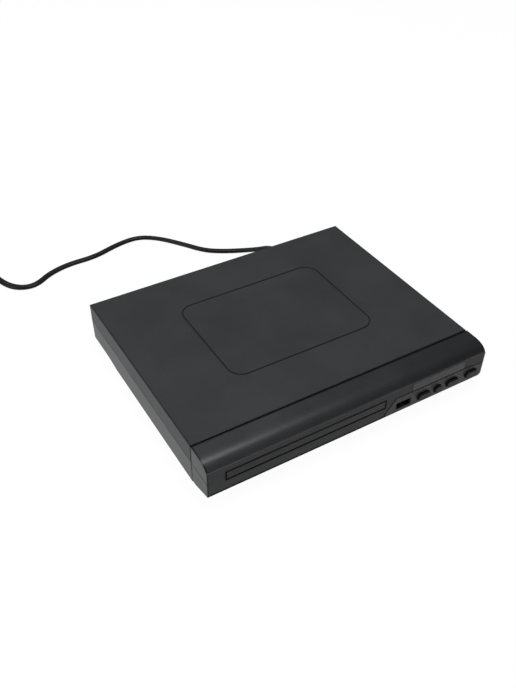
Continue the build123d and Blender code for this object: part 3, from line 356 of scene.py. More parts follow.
    def shaded(self, **sockets: object) -> Signal:
        """A Principled shader, its sockets named with low lines for spaces."""
        values = {name.replace("_", " "): value for name, value in sockets.items()}
        return self.add("ShaderNodeBsdfPrincipled", {}, values)

    def close(self, shader: Signal) -> None:
        """Send a shader to the surface."""
        self.add("ShaderNodeOutputMaterial", {}, {"Surface": shader})


# ---- finishes ----
class Lay(Enum):
    """Which way scuffs or the marks of a metal's working run."""

    ALONG_X = (0.02, 1.0, 1.0)
    ALONG_Y = (1.0, 0.02, 1.0)
    ALONG_Z = (1.0, 1.0, 0.02)
    NONE = (1.0, 1.0, 1.0)


@dataclass(frozen=True)
class Finish:
    """What every finish has: its name, its main colour and how rough it is."""

    name: str
    colour: Triple
    roughness: float

    def material(self) -> bpy.types.Material:
        """The finish's material, made once, under a name that no plain CAD material has."""
        label = f"{self.name}_look"
        made = bpy.data.materials.get(label)
        if made is None:
            made = bpy.data.materials.new(label)
            graph = Graph(made)
            graph.close(self.build(graph))
        return made

    def build(self, graph: Graph) -> Signal:
        """Build the nodes and give back the shader; each kind of finish has its own."""
        raise NotImplementedError


@dataclass(frozen=True)
class Moulded(Finish):
    """Moulded plastic: sparked grain, clouds, hairline scuffs, painted shade in gaps and on
    edges.

    Sizes are in metres. Edges and gaps take the painted light tone, each by its own share:
    painted shade where that tone is darker than the plastic, a painted highlight where it is
    paler. Over the middle of the cover, with its fine inlaid line, only the inlay share of that
    is left. The crease highlight, painted along the front's crease, and the bottom shadow,
    painted along the bottom, are heights above the floor, and 0 where there is none. Drift is how
    much darker the right end is, painted shade.
    """

    grain: float = 0.00035
    depth: float = 0.000012
    spark_range: Pair = (0.35, 0.75)
    spark_share: float = 0.3
    # the painted light tone: near-black painted shade on edges, in gaps, at the right end and
    # along the bottom
    painted_light_tone: Triple = (0.0015, 0.0015, 0.0015)
    edge_radius: float = 0.0004
    edge_reach: float = 0.0011
    edge_range: Pair = (0.05, 0.24)
    edge_share: float = 1.0
    gap_reach: float = 0.0016
    gap_range: Pair = (0.22, 0.5)
    gap_share: float = 1.0
    gap_roughness: float = 0.4
    inlay_x: Pair = (-0.106, 0.106)
    inlay_y: Pair = (-0.064, 0.080)
    inlay_blend: float = 0.002
    inlay_share: float = 1.0
    # painted highlight along the front's crease: its height, width and colour
    crease_highlight_height: float = 0.0
    crease_highlight_width: float = 0.0007
    crease_highlight_colour: Triple = tone(66, 65, 63)
    face_y: float = -0.0995
    # painted shadow along the bottom, below this height
    bottom_shadow_height: float = 0.0
    bottom_shadow_blend: float = 0.001
    # painted shade: how much the right end is darkened towards the painted light tone, and over
    # what reach
    drift: float = 0.0
    drift_reach: float = 0.14
    gloss: float = 0.4
    clouds: float = 0.12
    cloud_patch: float = 0.045
    cloud_range: Pair = (0.3, 0.7)
    edge_paint_patch: float = 0.011
    # patches in the painted shade on the edges
    edge_paint_spread: float = 0.15
    scuff_width: float = 0.0006
    scuff_turn: float = 0.7
    scuff_range: Pair = (0.70, 0.78)
    scuff_shine: float = 0.10
    dust: float = 0.2
    dust_spacing: float = 0.0042
    dust_range: Pair = (0.035, 0.06)

    def build(self, graph: Graph) -> Signal:
        """Grain as bump, scuffs in the roughness, the rest in the colour."""
        soft = graph.rounded(self.edge_radius)
        cloud = graph.noise(self.cloud_patch, 3.0)
        fine = graph.noise(self.grain, 3.0)
        pits = graph.cells(self.grain * 1.6)
        drawn = graph.stretched(Lay.ALONG_Y.value, self.scuff_turn)
        hair = graph.noise(self.scuff_width, 2.0, drawn).ramp(*self.scuff_range)
        # painted shade on the edges, in patches, and in the gaps
        patchy = 1 - self.edge_paint_spread + self.edge_paint_spread * graph.noise(self.edge_paint_patch, 3.0)
        painted_edge = graph.crest(self.edge_reach).ramp(*self.edge_range) * patchy
        deep = graph.depth(self.gap_reach).ramp(*self.gap_range)
        # less painted shade over the middle of the cover
        if self.inlay_share < 1:
            calm = 1 - self.inlaid(graph) * (1 - self.inlay_share)
            painted_edge, deep = painted_edge * calm, deep * calm
        base = self.lined(graph, self.ground(graph, cloud, fine), painted_edge, deep)
        rough = self.roughness + (cloud - 0.5) * 0.10 + (fine - 0.5) * 0.06
        rough = rough - hair * self.scuff_shine + deep * self.gap_roughness
        return graph.shaded(
            Base_Color=base,
            Roughness=rough.capped(),
            Specular_IOR_Level=self.gloss,
            Normal=graph.bumped(fine * 0.6 + pits * 0.4, self.depth, soft),
        )

    def ground(self, graph: Graph, cloud: Signal, fine: Signal) -> Signal:
        """The open surface's colour: clouds, paler grain, painted shade at the right end, dust on
        top.

        Args:
            graph: the material's graph.
            cloud: the wide noise.
            fine: the grain's noise.

        Returns:
            The colour.
        """
        dark = scaled(self.colour, 1 - self.clouds)
        pale = scaled(self.colour, 1 + self.clouds)
        base = graph.mixed(cloud.ramp(*self.cloud_range), dark, pale)
        sparks = fine.ramp(*self.spark_range) * self.spark_share
        base = graph.mixed(sparks, base, scaled(self.colour, 1.5))
        # painted shade: the right end darkened towards the painted light tone
        if self.drift > 0:
            right = graph.along(Axis.X).ramp(-self.drift_reach, self.drift_reach)
            base = graph.mixed(right * self.drift, base, self.painted_light_tone)
        speck = 1 - graph.cells(self.dust_spacing).ramp(*self.dust_range)
        return graph.mixed(speck * graph.upward() * self.dust, base, DUST)

    def lined(self, graph: Graph, base: Signal, painted_edge: Signal, deep: Signal) -> Signal:
        """Paint shade on the edges and in the gaps, the crease highlight and the bottom shadow
        over a colour.

        Args:
            graph: the material's graph.
            base: the colour under them.
            painted_edge: 1 on an edge, where the painted light tone goes.
            deep: 1 in a gap, where the painted light tone goes as painted shade.

        Returns:
            The colour with its lines.
        """
        # painted shade on edges and in gaps; where the tone is paler it is a painted highlight
        base = graph.mixed(painted_edge * self.edge_share, base, self.painted_light_tone)
        base = graph.mixed(deep * self.gap_share, base, self.painted_light_tone)
        # painted highlight along the crease
        if self.crease_highlight_height > 0:
            base = graph.mixed(self.crease_highlight(graph), base, self.crease_highlight_colour)
        # painted shadow along the bottom
        if self.bottom_shadow_height > 0:
            above = graph.along(Axis.Z).ramp(self.bottom_shadow_height, self.bottom_shadow_height + self.bottom_shadow_blend)
            base = graph.mixed(1 - above, base, self.painted_light_tone)
        return base

    def crease_highlight(self, graph: Graph) -> Signal:
        """1 on a fine line at one height across the front: the painted highlight along a moulded
        crease.
        """
        off = (graph.along(Axis.Z) - self.crease_highlight_height) / self.crease_highlight_width
        front = (self.face_y - graph.along(Axis.Y)).ramp(0.0, 0.0008)
        return (1 - off * off).capped() * front * (0.55 + 0.45 * graph.noise(0.02, 3.0))

    def inlaid(self, graph: Graph) -> Signal:
        """1 over the middle of the cover and 0 near its borders."""
        across = graph.along(Axis.X).within(*self.inlay_x, self.inlay_blend)
        return across * graph.along(Axis.Y).within(*self.inlay_y, self.inlay_blend)


@dataclass(frozen=True)
class Glossy(Finish):
    """Smooth polished plastic: a faint orange peel and fine wiping marks."""

    gloss: float = 0.45
    edge_radius: float = 0.0003
    peel_size: float = 0.0022
    peel_depth: float = 0.000006
    wipe_width: float = 0.0009
    wipe_stretch: Triple = (0.03, 1.0, 1.0)
    wipe_turn: float = 0.35
    smear_patch: float = 0.02

    def build(self, graph: Graph) -> Signal:
        """Peel as a shallow bump, wiping marks as stretched noise in the roughness."""
        soft = graph.rounded(self.edge_radius)
        painted_edge = graph.edges(soft)
        peel = graph.noise(self.peel_size, 1.0)
        drawn = graph.stretched(self.wipe_stretch, self.wipe_turn)
        wipe = graph.noise(self.wipe_width, 2.0, drawn).ramp(0.55, 0.75)
        smear = graph.noise(self.smear_patch, 3.0)
        # paler smears, and the edges painted paler as a painted highlight
        amount = smear.ramp(0.35, 0.8) * 0.2 + painted_edge * 0.5
        rough = self.roughness + smear * 0.06 + wipe * 0.06
        return graph.shaded(
            Base_Color=graph.mixed(amount, self.colour, scaled(self.colour, 1.5, 0.01)),
            Roughness=rough.capped(),
            Specular_IOR_Level=self.gloss,
            Normal=graph.bumped(peel, self.peel_depth, soft),
        )


@dataclass(frozen=True)
class Metal(Finish):
    """Worked metal: marks along one direction, mottled plating, dull patches, a painted edge
    highlight.
    """

    lay: Lay = Lay.ALONG_X
    dull: Triple = (0.30, 0.29, 0.27)
    spangle: float = 0.0
    edge_radius: float = 0.00025
    mark_width: float = 0.00022
    mark_depth: float = 0.000008
    tarnish_patch: float = 0.012
    plate_size: float = 0.004

    def build(self, graph: Graph) -> Signal:
        """Stretched noise as bump and roughness, cloudy tarnish in the colour."""
        soft = graph.rounded(self.edge_radius)
        painted_edge = graph.edges(soft)
        marks = graph.noise(self.mark_width, 3.0, graph.stretched(self.lay.value))
        tarnish = graph.noise(self.tarnish_patch, 4.0).ramp(0.45, 0.75)
        plates = graph.cells(self.plate_size, Cells.SOFT_MIDDLE) * self.spangle
        base = graph.mixed(tarnish * 0.45 + plates * 0.4, self.colour, self.dull)
        # painted highlight: the edges painted brighter
        base = graph.mixed(painted_edge * 0.7, base, scaled(self.colour, 1.2))
        rough = self.roughness + (marks - 0.5) * 0.22 + tarnish * 0.16
        rough = rough + plates * 0.2 - painted_edge * 0.08
        return graph.shaded(
            Base_Color=base,
            Metallic=1 - tarnish * 0.15,
            Roughness=rough.capped(),
            Normal=graph.bumped(marks, self.mark_depth, soft),
        )


@dataclass(frozen=True)
class Soft(Finish):
    """Rubber or vinyl: a dull skin with pores, a pale bloom, a painted edge highlight, moulded
    rings.

    The rings lie across Y, each ribs metres wide, and there are none where ribs is 0.
    """

    pore: float = 0.0006
    bloom: float = 0.25
    ribs: float = 0.0
    # share of the painted highlight on the edges
    edge_highlight: float = 0.35
    gloss: float = 0.3
    edge_radius: float = 0.0004
    bloom_patch: float = 0.009
    pore_depth: float = 0.00004
    rib_depth: float = 0.0002

    def build(self, graph: Graph) -> Signal:
        """Pores and moulded rings as bump, bloom as a cloudy pale film."""
        soft = graph.rounded(self.edge_radius)
        painted_edge = graph.edges(soft)
        pores = graph.noise(self.pore, 3.0)
        film = graph.noise(self.bloom_patch, 4.0).ramp(0.42, 0.8) * self.bloom
        # pale serves the bloom's film and the painted highlight on the edges
        pale = scaled(self.colour, 2.2, 0.02)
        rough = self.roughness + film * 0.3 + (pores - 0.5) * 0.12 - painted_edge * 0.1
        height, depth = pores * 0.3, self.pore_depth
        if self.ribs > 0:
            height, depth = height + graph.bands(self.ribs, Axis.Y) * 2.0, self.rib_depth
        return graph.shaded(
            Base_Color=graph.mixed(film + painted_edge * self.edge_highlight, self.colour, pale),
            Roughness=rough.capped(),
            Specular_IOR_Level=self.gloss,
            Normal=graph.bumped(height, depth, soft),
        )


@dataclass(frozen=True)
class Laminate(Finish):
    """A circuit board: lacquer over etched tracks, with tinned dots on a grid."""

    track: Triple = (0.05, 0.20, 0.08)
    solder: Triple = (0.62, 0.62, 0.60)
    # painted shade in the drilled holes
    hole_shade: Triple = (0.02, 0.02, 0.02)
    pitch: float = 0.00254
    cluster: float = 0.014
    weave: float = 0.0005
    cloud_patch: float = 0.03
    depth: float = 0.00005

    def build(self, graph: Graph) -> Signal:
        """Tracks along cell borders, dots at cell middles, woven glass as fine bump."""
        where = graph.stretched((1.0, 1.0, 0.0))
        borders = graph.cells(self.pitch * 2.2, Cells.BORDER, where, 0.55)
        line = 1 - borders.ramp(0.05, 0.09)
        dots = graph.cells(self.pitch, Cells.MIDDLE, where, 0.35)
        some = graph.noise(self.cluster, 1.0).ramp(0.50, 0.54)
        tinned = (1 - dots.ramp(0.16, 0.22)) * some
        drilled = (1 - dots.ramp(0.05, 0.08)) * some
        glass = graph.noise(self.weave, 1.0)
        cloud = graph.noise(self.cloud_patch, 3.0)
        base = graph.mixed(line * 0.75, self.colour, self.track)
        base = graph.mixed(cloud.ramp(0.4, 0.8) * 0.2, base, self.track)
        base = graph.mixed(tinned, base, self.solder)
        # painted shade in the drilled holes
        base = graph.mixed(drilled, base, self.hole_shade)
        rough = self.roughness + (glass - 0.5) * 0.15 - tinned * 0.05
        height = line * 0.5 + tinned * 1.2 - drilled + glass * 0.15
        return graph.shaded(
            Base_Color=base,
            Metallic=tinned * 0.9,
            Roughness=rough.capped(),
            Normal=graph.bumped(height, self.depth),
        )


@dataclass(frozen=True)
class Wound(Finish):
    """A taped winding: laps of yellow film with dark lines between them."""

    film: Triple = (0.62, 0.42, 0.05)
    seam: Triple = tone(70, 50, 20)
    lap: float = 0.0016
    wrinkle_size: float = 0.0015
    cloud_patch: float = 0.006
    edge_radius: float = 0.0004
    depth: float = 0.00006

    def build(self, graph: Graph) -> Signal:
        """Laps of tape as bands along Z, wrinkles as stretched noise."""
        laps = graph.bands(self.lap, Axis.Z)
        drawn = graph.stretched((0.2, 1.0, 1.0))
        wrinkle = graph.noise(self.wrinkle_size, 3.0, drawn)
        cloud = graph.noise(self.cloud_patch, 3.0)
        base = graph.mixed(cloud.ramp(0.35, 0.7), self.colour, self.film)
        base = graph.mixed(laps.ramp(0.85, 1.0) * 0.6, base, self.seam)
        rough = self.roughness + wrinkle * 0.2
        soft = graph.rounded(self.edge_radius)
        return graph.shaded(
            Base_Color=base,
            Roughness=rough.capped(),
            Normal=graph.bumped(laps * 0.6 + wrinkle * 0.4, self.depth, soft),
        )


@dataclass(frozen=True)
class Striped(Finish):
    """A flat cable: pale insulation over side-by-side wires, a little soiled."""

    soiled: Triple = tone(120, 112, 100)
    wire: float = 0.00127
    soil_patch: float = 0.005
    depth: float = 0.00025

    def build(self, graph: Graph) -> Signal:
        """Each wire is one rounded band across X; the roughness follows the valleys, and painted
        shade darkens them.
        """
        wires = graph.bands(self.wire, Axis.X)
        soil = graph.noise(self.soil_patch, 4.0).ramp(0.5, 0.8)
        # painted shade: the valleys between the wires darker
        base = graph.mixed(wires, scaled(self.colour, 0.55), self.colour)
        rough = self.roughness + soil * 0.15 + (1 - wires) * 0.1
        return graph.shaded(
            Base_Color=graph.mixed(soil * 0.3, base, self.soiled),
            Roughness=rough.capped(),
            Normal=graph.bumped(wires, self.depth),
        )


@dataclass(frozen=True)
class Lens(Finish):
    """A coated pickup lens: clear, slightly violet and faintly dusty."""

    violet: Triple = tone(110, 60, 150)
    grey: Triple = tone(190, 190, 190)
    drift_patch: float = 0.003
    dust_spacing: float = 0.0007
    depth: float = 0.000004

    def build(self, graph: Graph) -> Signal:
        """A glossy coated surface whose colour turns from blue to violet across it."""
        drift = graph.noise(self.drift_patch, 2.0)
        dust = 1 - graph.cells(self.dust_spacing).ramp(0.08, 0.16)
        base = graph.mixed(drift, self.colour, self.violet)
        rough = self.roughness + dust * 0.3
        return graph.shaded(
            Base_Color=graph.mixed(dust * 0.3, base, self.grey),
            Roughness=rough.capped(),
            Coat_Weight=1.0,
            Coat_Roughness=0.02,
            Coat_Tint=(0.6, 0.6, 1.0, 1.0),
            Normal=graph.bumped(drift, self.depth),
        )


COVER = Moulded(
    "cover_black", tone(38, 39, 41), 0.46, gloss=0.14, edge_reach=0.0015, inlay_share=0.4
)
TUB = Moulded("tub_black", tone(43, 44, 45), 0.44, gloss=0.30, edge_reach=0.0013)
# painted shade at the right end and along the bottom, and a painted highlight along the crease
BEZEL = Moulded(
    "bezel_black", tone(45, 46, 47), 0.33, grain=0.00028, depth=0.000008, gloss=0.10,
    edge_reach=0.0015, crease_highlight_height=0.0314, bottom_shadow_height=0.0024, drift=0.58,
)
PANEL = Moulded(
    "panel_black", tone(42, 42, 43), 0.36, grain=0.00028, depth=0.000008, gloss=0.15
)
DOOR = Moulded("door_black", tone(36, 36, 36), 0.36, grain=0.00025, depth=0.000005, gloss=0.12)
CAPS = Moulded(
    "button_black", tone(31, 31, 32), 0.42, grain=0.00025, depth=0.000006, gloss=0.12
)
# tray and chassis: a paler tone painted on edges and in gaps, a painted highlight
TRAY = Moulded(
    "tray_black", tone(40, 41, 42), 0.50, grain=0.0004, painted_light_tone=tone(70, 70, 72), edge_share=0.4
)
CHASSIS = Moulded(
    "chassis_black", tone(46, 47, 49), 0.55, grain=0.0004, painted_light_tone=tone(78, 78, 80), edge_share=0.4
)
WINDOW = Glossy("window_smoke", tone(40, 40, 42), 0.18, gloss=0.20)
PARTS = Glossy("parts_black", tone(36, 36, 38), 0.38)
# a darker tone painted as shade on edges and in gaps
ACETAL = Moulded(
    "gear_white", tone(222, 219, 208), 0.42, grain=0.0003, painted_light_tone=(0.5, 0.48, 0.43),
    edge_share=0.3, gap_share=0.4, clouds=0.06, dust=0.0,
)
STEEL = Metal("steel_sheet", tone(198, 199, 198), 0.30, spangle=0.5)
DARK_STEEL = Metal(
    "steel_smoked", tone(52, 52, 52), 0.42, Lay.ALONG_Y, dull=(0.02, 0.02, 0.02)
)
# a darker tone painted as shade on edges and in gaps
TONGUE = Moulded(
    "tongue_grey", tone(190, 190, 186), 0.45, painted_light_tone=(0.4, 0.4, 0.4), edge_share=0.2,
    gap_share=0.2,
)
SCREWS = Metal("steel_screws", tone(182, 182, 180), 0.28, Lay.NONE)
RODS = Metal("steel_rods", tone(214, 214, 212), 0.16, Lay.ALONG_Y)
CANS = Metal("motor_cans", tone(186, 187, 186), 0.26, Lay.ALONG_Z)
FINS = Metal("heat_fins", tone(205, 206, 210), 0.34, Lay.ALONG_Z)
NICKEL = Metal("plated_brass", tone(214, 196, 140), 0.22, Lay.ALONG_Y, dull=(0.42, 0.32, 0.15))
RUBBER = Soft("foot_rubber", tone(38, 38, 38), 0.78)
BELT = Soft("belt_rubber", tone(30, 30, 30), 0.62, pore=0.0003)
VINYL = Soft(
    "cord_vinyl", tone(13, 13, 14), 0.38, pore=0.0005, bloom=0.02, edge_highlight=0.03, gloss=0.14
)
BOOT = Soft(
    "boot_vinyl", tone(18, 18, 19), 0.5, pore=0.0008, bloom=0.06, ribs=0.0024, edge_highlight=0.1,
    gloss=0.2,
)
PLUG = Soft("plug_vinyl", tone(22, 22, 23), 0.45, pore=0.0009, bloom=0.08)
BOARD = Laminate("board_green", tone(38, 92, 58), 0.34)
BROWN_BOARD = Laminate(
    "board_brown", tone(150, 108, 62), 0.48, track=(0.42, 0.27, 0.12), pitch=0.003
)
TAPE = Wound("winding_tape", tone(196, 160, 40), 0.35)
RIBBON = Striped("ribbon_grey", tone(205, 205, 200), 0.5)
LENS = Lens("lens_blue", tone(70, 90, 170), 0.06)


def jack(name: str, colour: Triple, painted_light_tone: Triple) -> Moulded:
    """The finish of one coloured jack.

    Args:
        name: the finish's name.
        colour: the colour that tells what the jack is for.
        painted_light_tone: a darker tint of it, painted as shade on edges and in gaps.

    Returns:
        The finish.
    """
    return Moulded(name, colour, 0.4, painted_light_tone=painted_light_tone, edge_share=0.3, clouds=0.05)


YELLOW = jack("socket_yellow", tone(226, 186, 20), (0.45, 0.3, 0.02))
WHITE = jack("socket_white", tone(225, 225, 220), (0.5, 0.5, 0.48))
RED = jack("socket_red", tone(176, 28, 26), (0.2, 0.01, 0.01))
ORANGE = jack("socket_orange", tone(214, 104, 24), (0.35, 0.1, 0.02))


# ---- surfaces from arrays ----
def quads(index: np.ndarray) -> list[list[int]]:
    """Faces between neighbouring points.

    Args:
        index: the points' numbers, in rows and columns.

    Returns:
        Four numbers for each face, one way round from each row to the next.
    """
    corners = [index[:-1, :-1], index[1:, :-1], index[1:, 1:], index[:-1, 1:]]
    return np.stack(corners, -1).reshape(-1, 4).tolist()


def looped(rows: int, columns: int) -> np.ndarray:
    """Number the points of a grid whose last column joins its first again."""
    index = np.arange(rows * columns).reshape(rows, columns)
    return np.hstack([index, index[:, :1]])


@dataclass
class Tube:
    """A closed surface as a grid of points: rows along its line, columns round its section."""

    name: str
    grid: np.ndarray

    def make(self, finish: Finish, body: str) -> bpy.types.Object:
        """Turn the grid into a smooth mesh piece with one flat face on each end.

        Args:
            finish: what the piece is made of.
            body: the CAD body that it rides on.

        Returns:
            The piece.
        """
        index = looped(*self.grid.shape[:2])
        start, end = index[0, :-1], index[-1, :-1][::-1]
        faces = quads(index) + [start.tolist(), end.tolist()]
        mesh = bpy.data.meshes.new(self.name)
        mesh.from_pydata(self.grid.reshape(-1, 3).tolist(), [], faces)
        mesh.validate()
        mesh.polygons.foreach_set("use_smooth", np.ones(len(mesh.polygons), dtype=bool))
        mesh.materials.append(finish.material())
        piece = bpy.data.objects.new(self.name, mesh)
        bpy.context.scene.collection.objects.link(piece)
        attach(piece, body)
        log.info("%s: %d faces", self.name, len(mesh.polygons))
        return piece


# ---- the player ----
class Assembly:
    """A group of the player's CAD nodes and the finish that each one gets."""

    finishes: ClassVar[Mapping[Finish, Sequence[str]]] = {}

    def dress(self) -> None:
        """Give every node of the group its finish and report it."""
        for finish, nodes in self.finishes.items():
            for node in nodes:
                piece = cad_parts[node]
                if not piece.material_slots:
                    piece.data.materials.append(None)
                for place in piece.material_slots:
                    place.material = finish.material()
                log.info("%s: %s", node, finish.name)


@dataclass
class MainsCord(Assembly):
    """The flat two-wire cord: a free run behind the player, a tied coil of the spare, the plug.

    Sizes are in metres. The route's points are those of the CAD tube, moved a little to follow
    the photograph and lowered where the cord lies flat. Outer and inner are the radii of the
    coil's turns, and edge_height is how high its lower layer's middle is, the cord on edge.
    """

    finishes = {
        BOOT: ("strain_relief",),
        PLUG: ("plug_body",),
        NICKEL: ("plug_pins",),
        RUBBER: ("cord_tie",),
    }

    width: float = 0.0054
    thickness: float = 0.0034
    groove: float = 0.00038
    length: float = 1.5
    coil_x: float = -0.2009
    coil_y: float = 0.2600
    outer: float = 0.0354
    inner: float = 0.0246
    turns: float = 5.5
    points_per_turn: int = 16
    climb_from: float = 0.47
    climb_share: float = 0.06
    edge_height: float = 0.0028
    smoothness: int = 6
    section_points: int = 28

    def run(self) -> np.ndarray:
        """Control points from the boot to the coil, in millimetres turned to metres."""
        points = [
            (68, 118.85, 15.2), (67, 127, 13.0), (61, 137.5, 6.6), (50, 148.3, 2.8),
            (36, 156.0, 2.1), (20, 166.5, 2.1), (6.5, 187, 2.3), (-10, 208.5, 2.5),
            (-27, 220, 2.4), (-50, 217.5, 2.1), (-75, 209, 2.0), (-101, 209.5, 2.0),
            (-121.5, 203.5, 2.1), (-135.5, 193.5, 2.2), (-147, 193.0, 2.3), (-156.7, 199.4, 2.6),
            (-162.8, 210.5, 2.8), (-165.5, 223.5, 2.8), (-165.5, 239, 2.8),
        ]
        return np.array(points) * MM

    def coil(self) -> np.ndarray:
        """Control points of the wound turns.

        The angle grows evenly; the radius falls from the outer to the inner turn over the first
        half and grows back over the second, and the height steps up one width between them.
        """
        steps = int(round(self.turns * self.points_per_turn))
        share = np.arange(1, steps) / steps
        angle = 2 * math.pi * self.turns * share
        fold = 1 - np.abs(2 * share - 1)
        radius = self.outer - (self.outer - self.inner) * fold
        climb = np.clip((share - self.climb_from) / self.climb_share, 0, 1)
        height = self.edge_height + self.width * (climb * climb * (3 - 2 * climb))
        across = self.coil_x + radius * np.cos(angle)
        return np.stack([across, self.coil_y + radius * np.sin(angle), height], 1)

    def tail(self) -> np.ndarray:
        """Control points from the coil to the plug's boot."""
        points = [
            (-236.3, 258, 8.1), (-236.3, 239, 8.1), (-236.3, 231, 8.1),
            (-236.3, 221, 6.5), (-236.3, 213, 6.5),
        ]
        return np.array(points) * MM

    def line(self) -> np.ndarray:
        """Points along the smooth line through all the control points, from a NURBS spline."""
        control = np.vstack([self.run(), self.coil(), self.tail()])
        curve = bpy.data.curves.new("cord_route", "CURVE")
        curve.dimensions = "3D"
        curve.resolution_u = self.smoothness
        spline = curve.splines.new("NURBS")
        spline.points.add(len(control) - 1)
        weighted = np.hstack([control, np.ones((len(control), 1))])
        spline.points.foreach_set("co", weighted.ravel())
        spline.order_u = 3
        spline.use_endpoint_u = True
        holder = bpy.data.objects.new("cord_route", curve)
        drawn = bpy.data.meshes.new_from_object(holder)
        points = np.zeros(len(drawn.vertices) * 3)
        drawn.vertices.foreach_get("co", points)
        bpy.data.objects.remove(holder)
        bpy.data.curves.remove(curve)
        return points.reshape(-1, 3)

    def outline(self) -> np.ndarray:
        """The cord's section: two round wires side by side with a shallow groove between them.

        Across the width the half thickness is a circle's at each side and dips by a cosine in
        the middle; the angle runs once round.
        """
        angle = np.linspace(0, 2 * math.pi, self.section_points, endpoint=False)
        reach = self.width / 2
        bead = self.thickness / 2
        across = reach * np.cos(angle)
        middle = reach - bead
        side = np.clip((np.abs(across) - middle) / bead, 0, 1)
        half = bead * np.sqrt(1 - side * side)
        dip = self.groove * (0.5 + 0.5 * np.cos(math.pi * np.clip(across / middle, -1, 1)))
        return np.stack([across, np.sign(np.sin(angle)) * (half - dip)], 1)

    @staticmethod
    def roll(distance: np.ndarray) -> np.ndarray:
        """How far the section is turned about the line, in radians.

        It lies flat at the boot, tips to one side and back where the photograph shows it
        thinner, and stands on edge in the coil, with even turns between the stations.

        Args:
            distance: how far along the line each point is.

        Returns:
            The angle at each point.
        """
        stations = [0.06, 0.10, 0.125, 0.15, 0.20, 0.27, 0.31]
        angles = [0.0, -0.12, -0.22, -0.10, 0.0, 0.10, math.pi / 2]
        return np.interp(distance, stations, angles)

    def build(self) -> None:
        points = self.line()
        step = np.gradient(points, axis=0)
        ahead = step / np.linalg.norm(step, axis=1, keepdims=True)
        side = np.cross(ahead, [0.0, 0.0, 1.0])
        side /= np.linalg.norm(side, axis=1, keepdims=True)
        over = np.cross(side, ahead)
        gaps = np.linalg.norm(np.diff(points, axis=0), axis=1)
        distance = np.concatenate([[0.0], np.cumsum(gaps)])
        angle = self.roll(distance)[:, None]
        wide = side * np.cos(angle) + over * np.sin(angle)
        thin = over * np.cos(angle) - side * np.sin(angle)
        section = self.outline()
        across = wide[:, None] * section[None, :, :1]
        grid = points[:, None] + across + thin[:, None] * section[None, :, 1:]
        cord = Tube("mains_cord", grid).make(VINYL, "player")
        log.info("cord line %.3f m", distance[-1])
        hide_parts("power_cord", "cord_coil", "cord_tail")


class Housing(Assembly):
    """The cover, the tub, the rear panel, the feet and the screws that hold them."""

    finishes = {
        COVER: ("upper_case",),
        TUB: ("lower_case", "rear_panel"),
        RUBBER: ("foot_front_left", "foot_front_right", "foot_rear_left", "foot_rear_right"),
        SCREWS: ("case_screws",),
    }


class Front(Assembly):
    """The bezel's two pieces, the window, the buttons, the tray door and the data port."""

    finishes = {
        BEZEL: ("front_bezel_upper",),
        PANEL: ("front_bezel_lower",),
        WINDOW: ("display_window",),
        DOOR: ("tray_door",),
        CAPS: ("button_open_close", "button_play", "button_stop", "button_power"),
        DARK_STEEL: ("usb_shell",),
        TONGUE: ("usb_insert",),
        BROWN_BOARD: ("front_board",),
        PARTS: ("tact_switches", "display_module"),
        RIBBON: ("front_cable",),
    }


class Sockets(Assembly):
    """The round jacks and the digital video socket at the rear, in their usual colours."""

    finishes = {
        YELLOW: ("video_jack",),
        WHITE: ("left_audio_jack",),
        RED: ("right_audio_jack",),
        ORANGE: ("coaxial_jack",),
        STEEL: ("hdmi_socket",),
    }


class Loader(Assembly):
    """The tray, its gears and belt, the clamp and the lifting traverse with its pickup."""

    finishes = {
        TRAY: ("disc_tray",),
        ACETAL: (
            "tray_drive_gear", "pulley_gear", "motor_pulley", "sled_gear", "sled_motor_pinion",
            "cam_slider",
        ),
        BELT: ("drive_belt",),
        CANS: ("tray_motor", "spindle_motor", "sled_motor"),
        CHASSIS: ("loader_frame", "clamp_puck", "traverse_frame"),
        STEEL: ("clamp_bridge",),
        PARTS: ("turntable", "optical_pickup"),
        RODS: ("guide_rods",),
        LENS: ("pickup_lens",),
        SCREWS: ("loader_screws",),
    }


class Electronics(Assembly):
    """The main board and the power board with the parts on them."""

    finishes = {
        BOARD: ("main_board",),
        BROWN_BOARD: ("power_board",),
        TAPE: ("transformer",),
        PARTS: ("capacitors",),
        FINS: ("heat_sink",),
        SCREWS: ("board_screws",),
    }


# ---- the studio ----
@dataclass(frozen=True)
class Lamp:
    """A square area lamp: where it hangs, what it faces, its side in metres and its watts."""

    name: str
    at: Triple
    towards: Triple
    size: float
    power: float

    def build(self) -> None:
        """Hang the lamp."""
        data = bpy.data.lights.new(self.name, "AREA")
        data.size = self.size
        data.energy = self.power
        lamp = bpy.data.objects.new(self.name, data)
        reach = Vector(self.towards) - Vector(self.at)
        turn = reach.to_track_quat("-Z", "Y").to_matrix().to_4x4()
        lamp.matrix_world = Matrix.Translation(Vector(self.at)) @ turn
        bpy.context.scene.collection.objects.link(lamp)


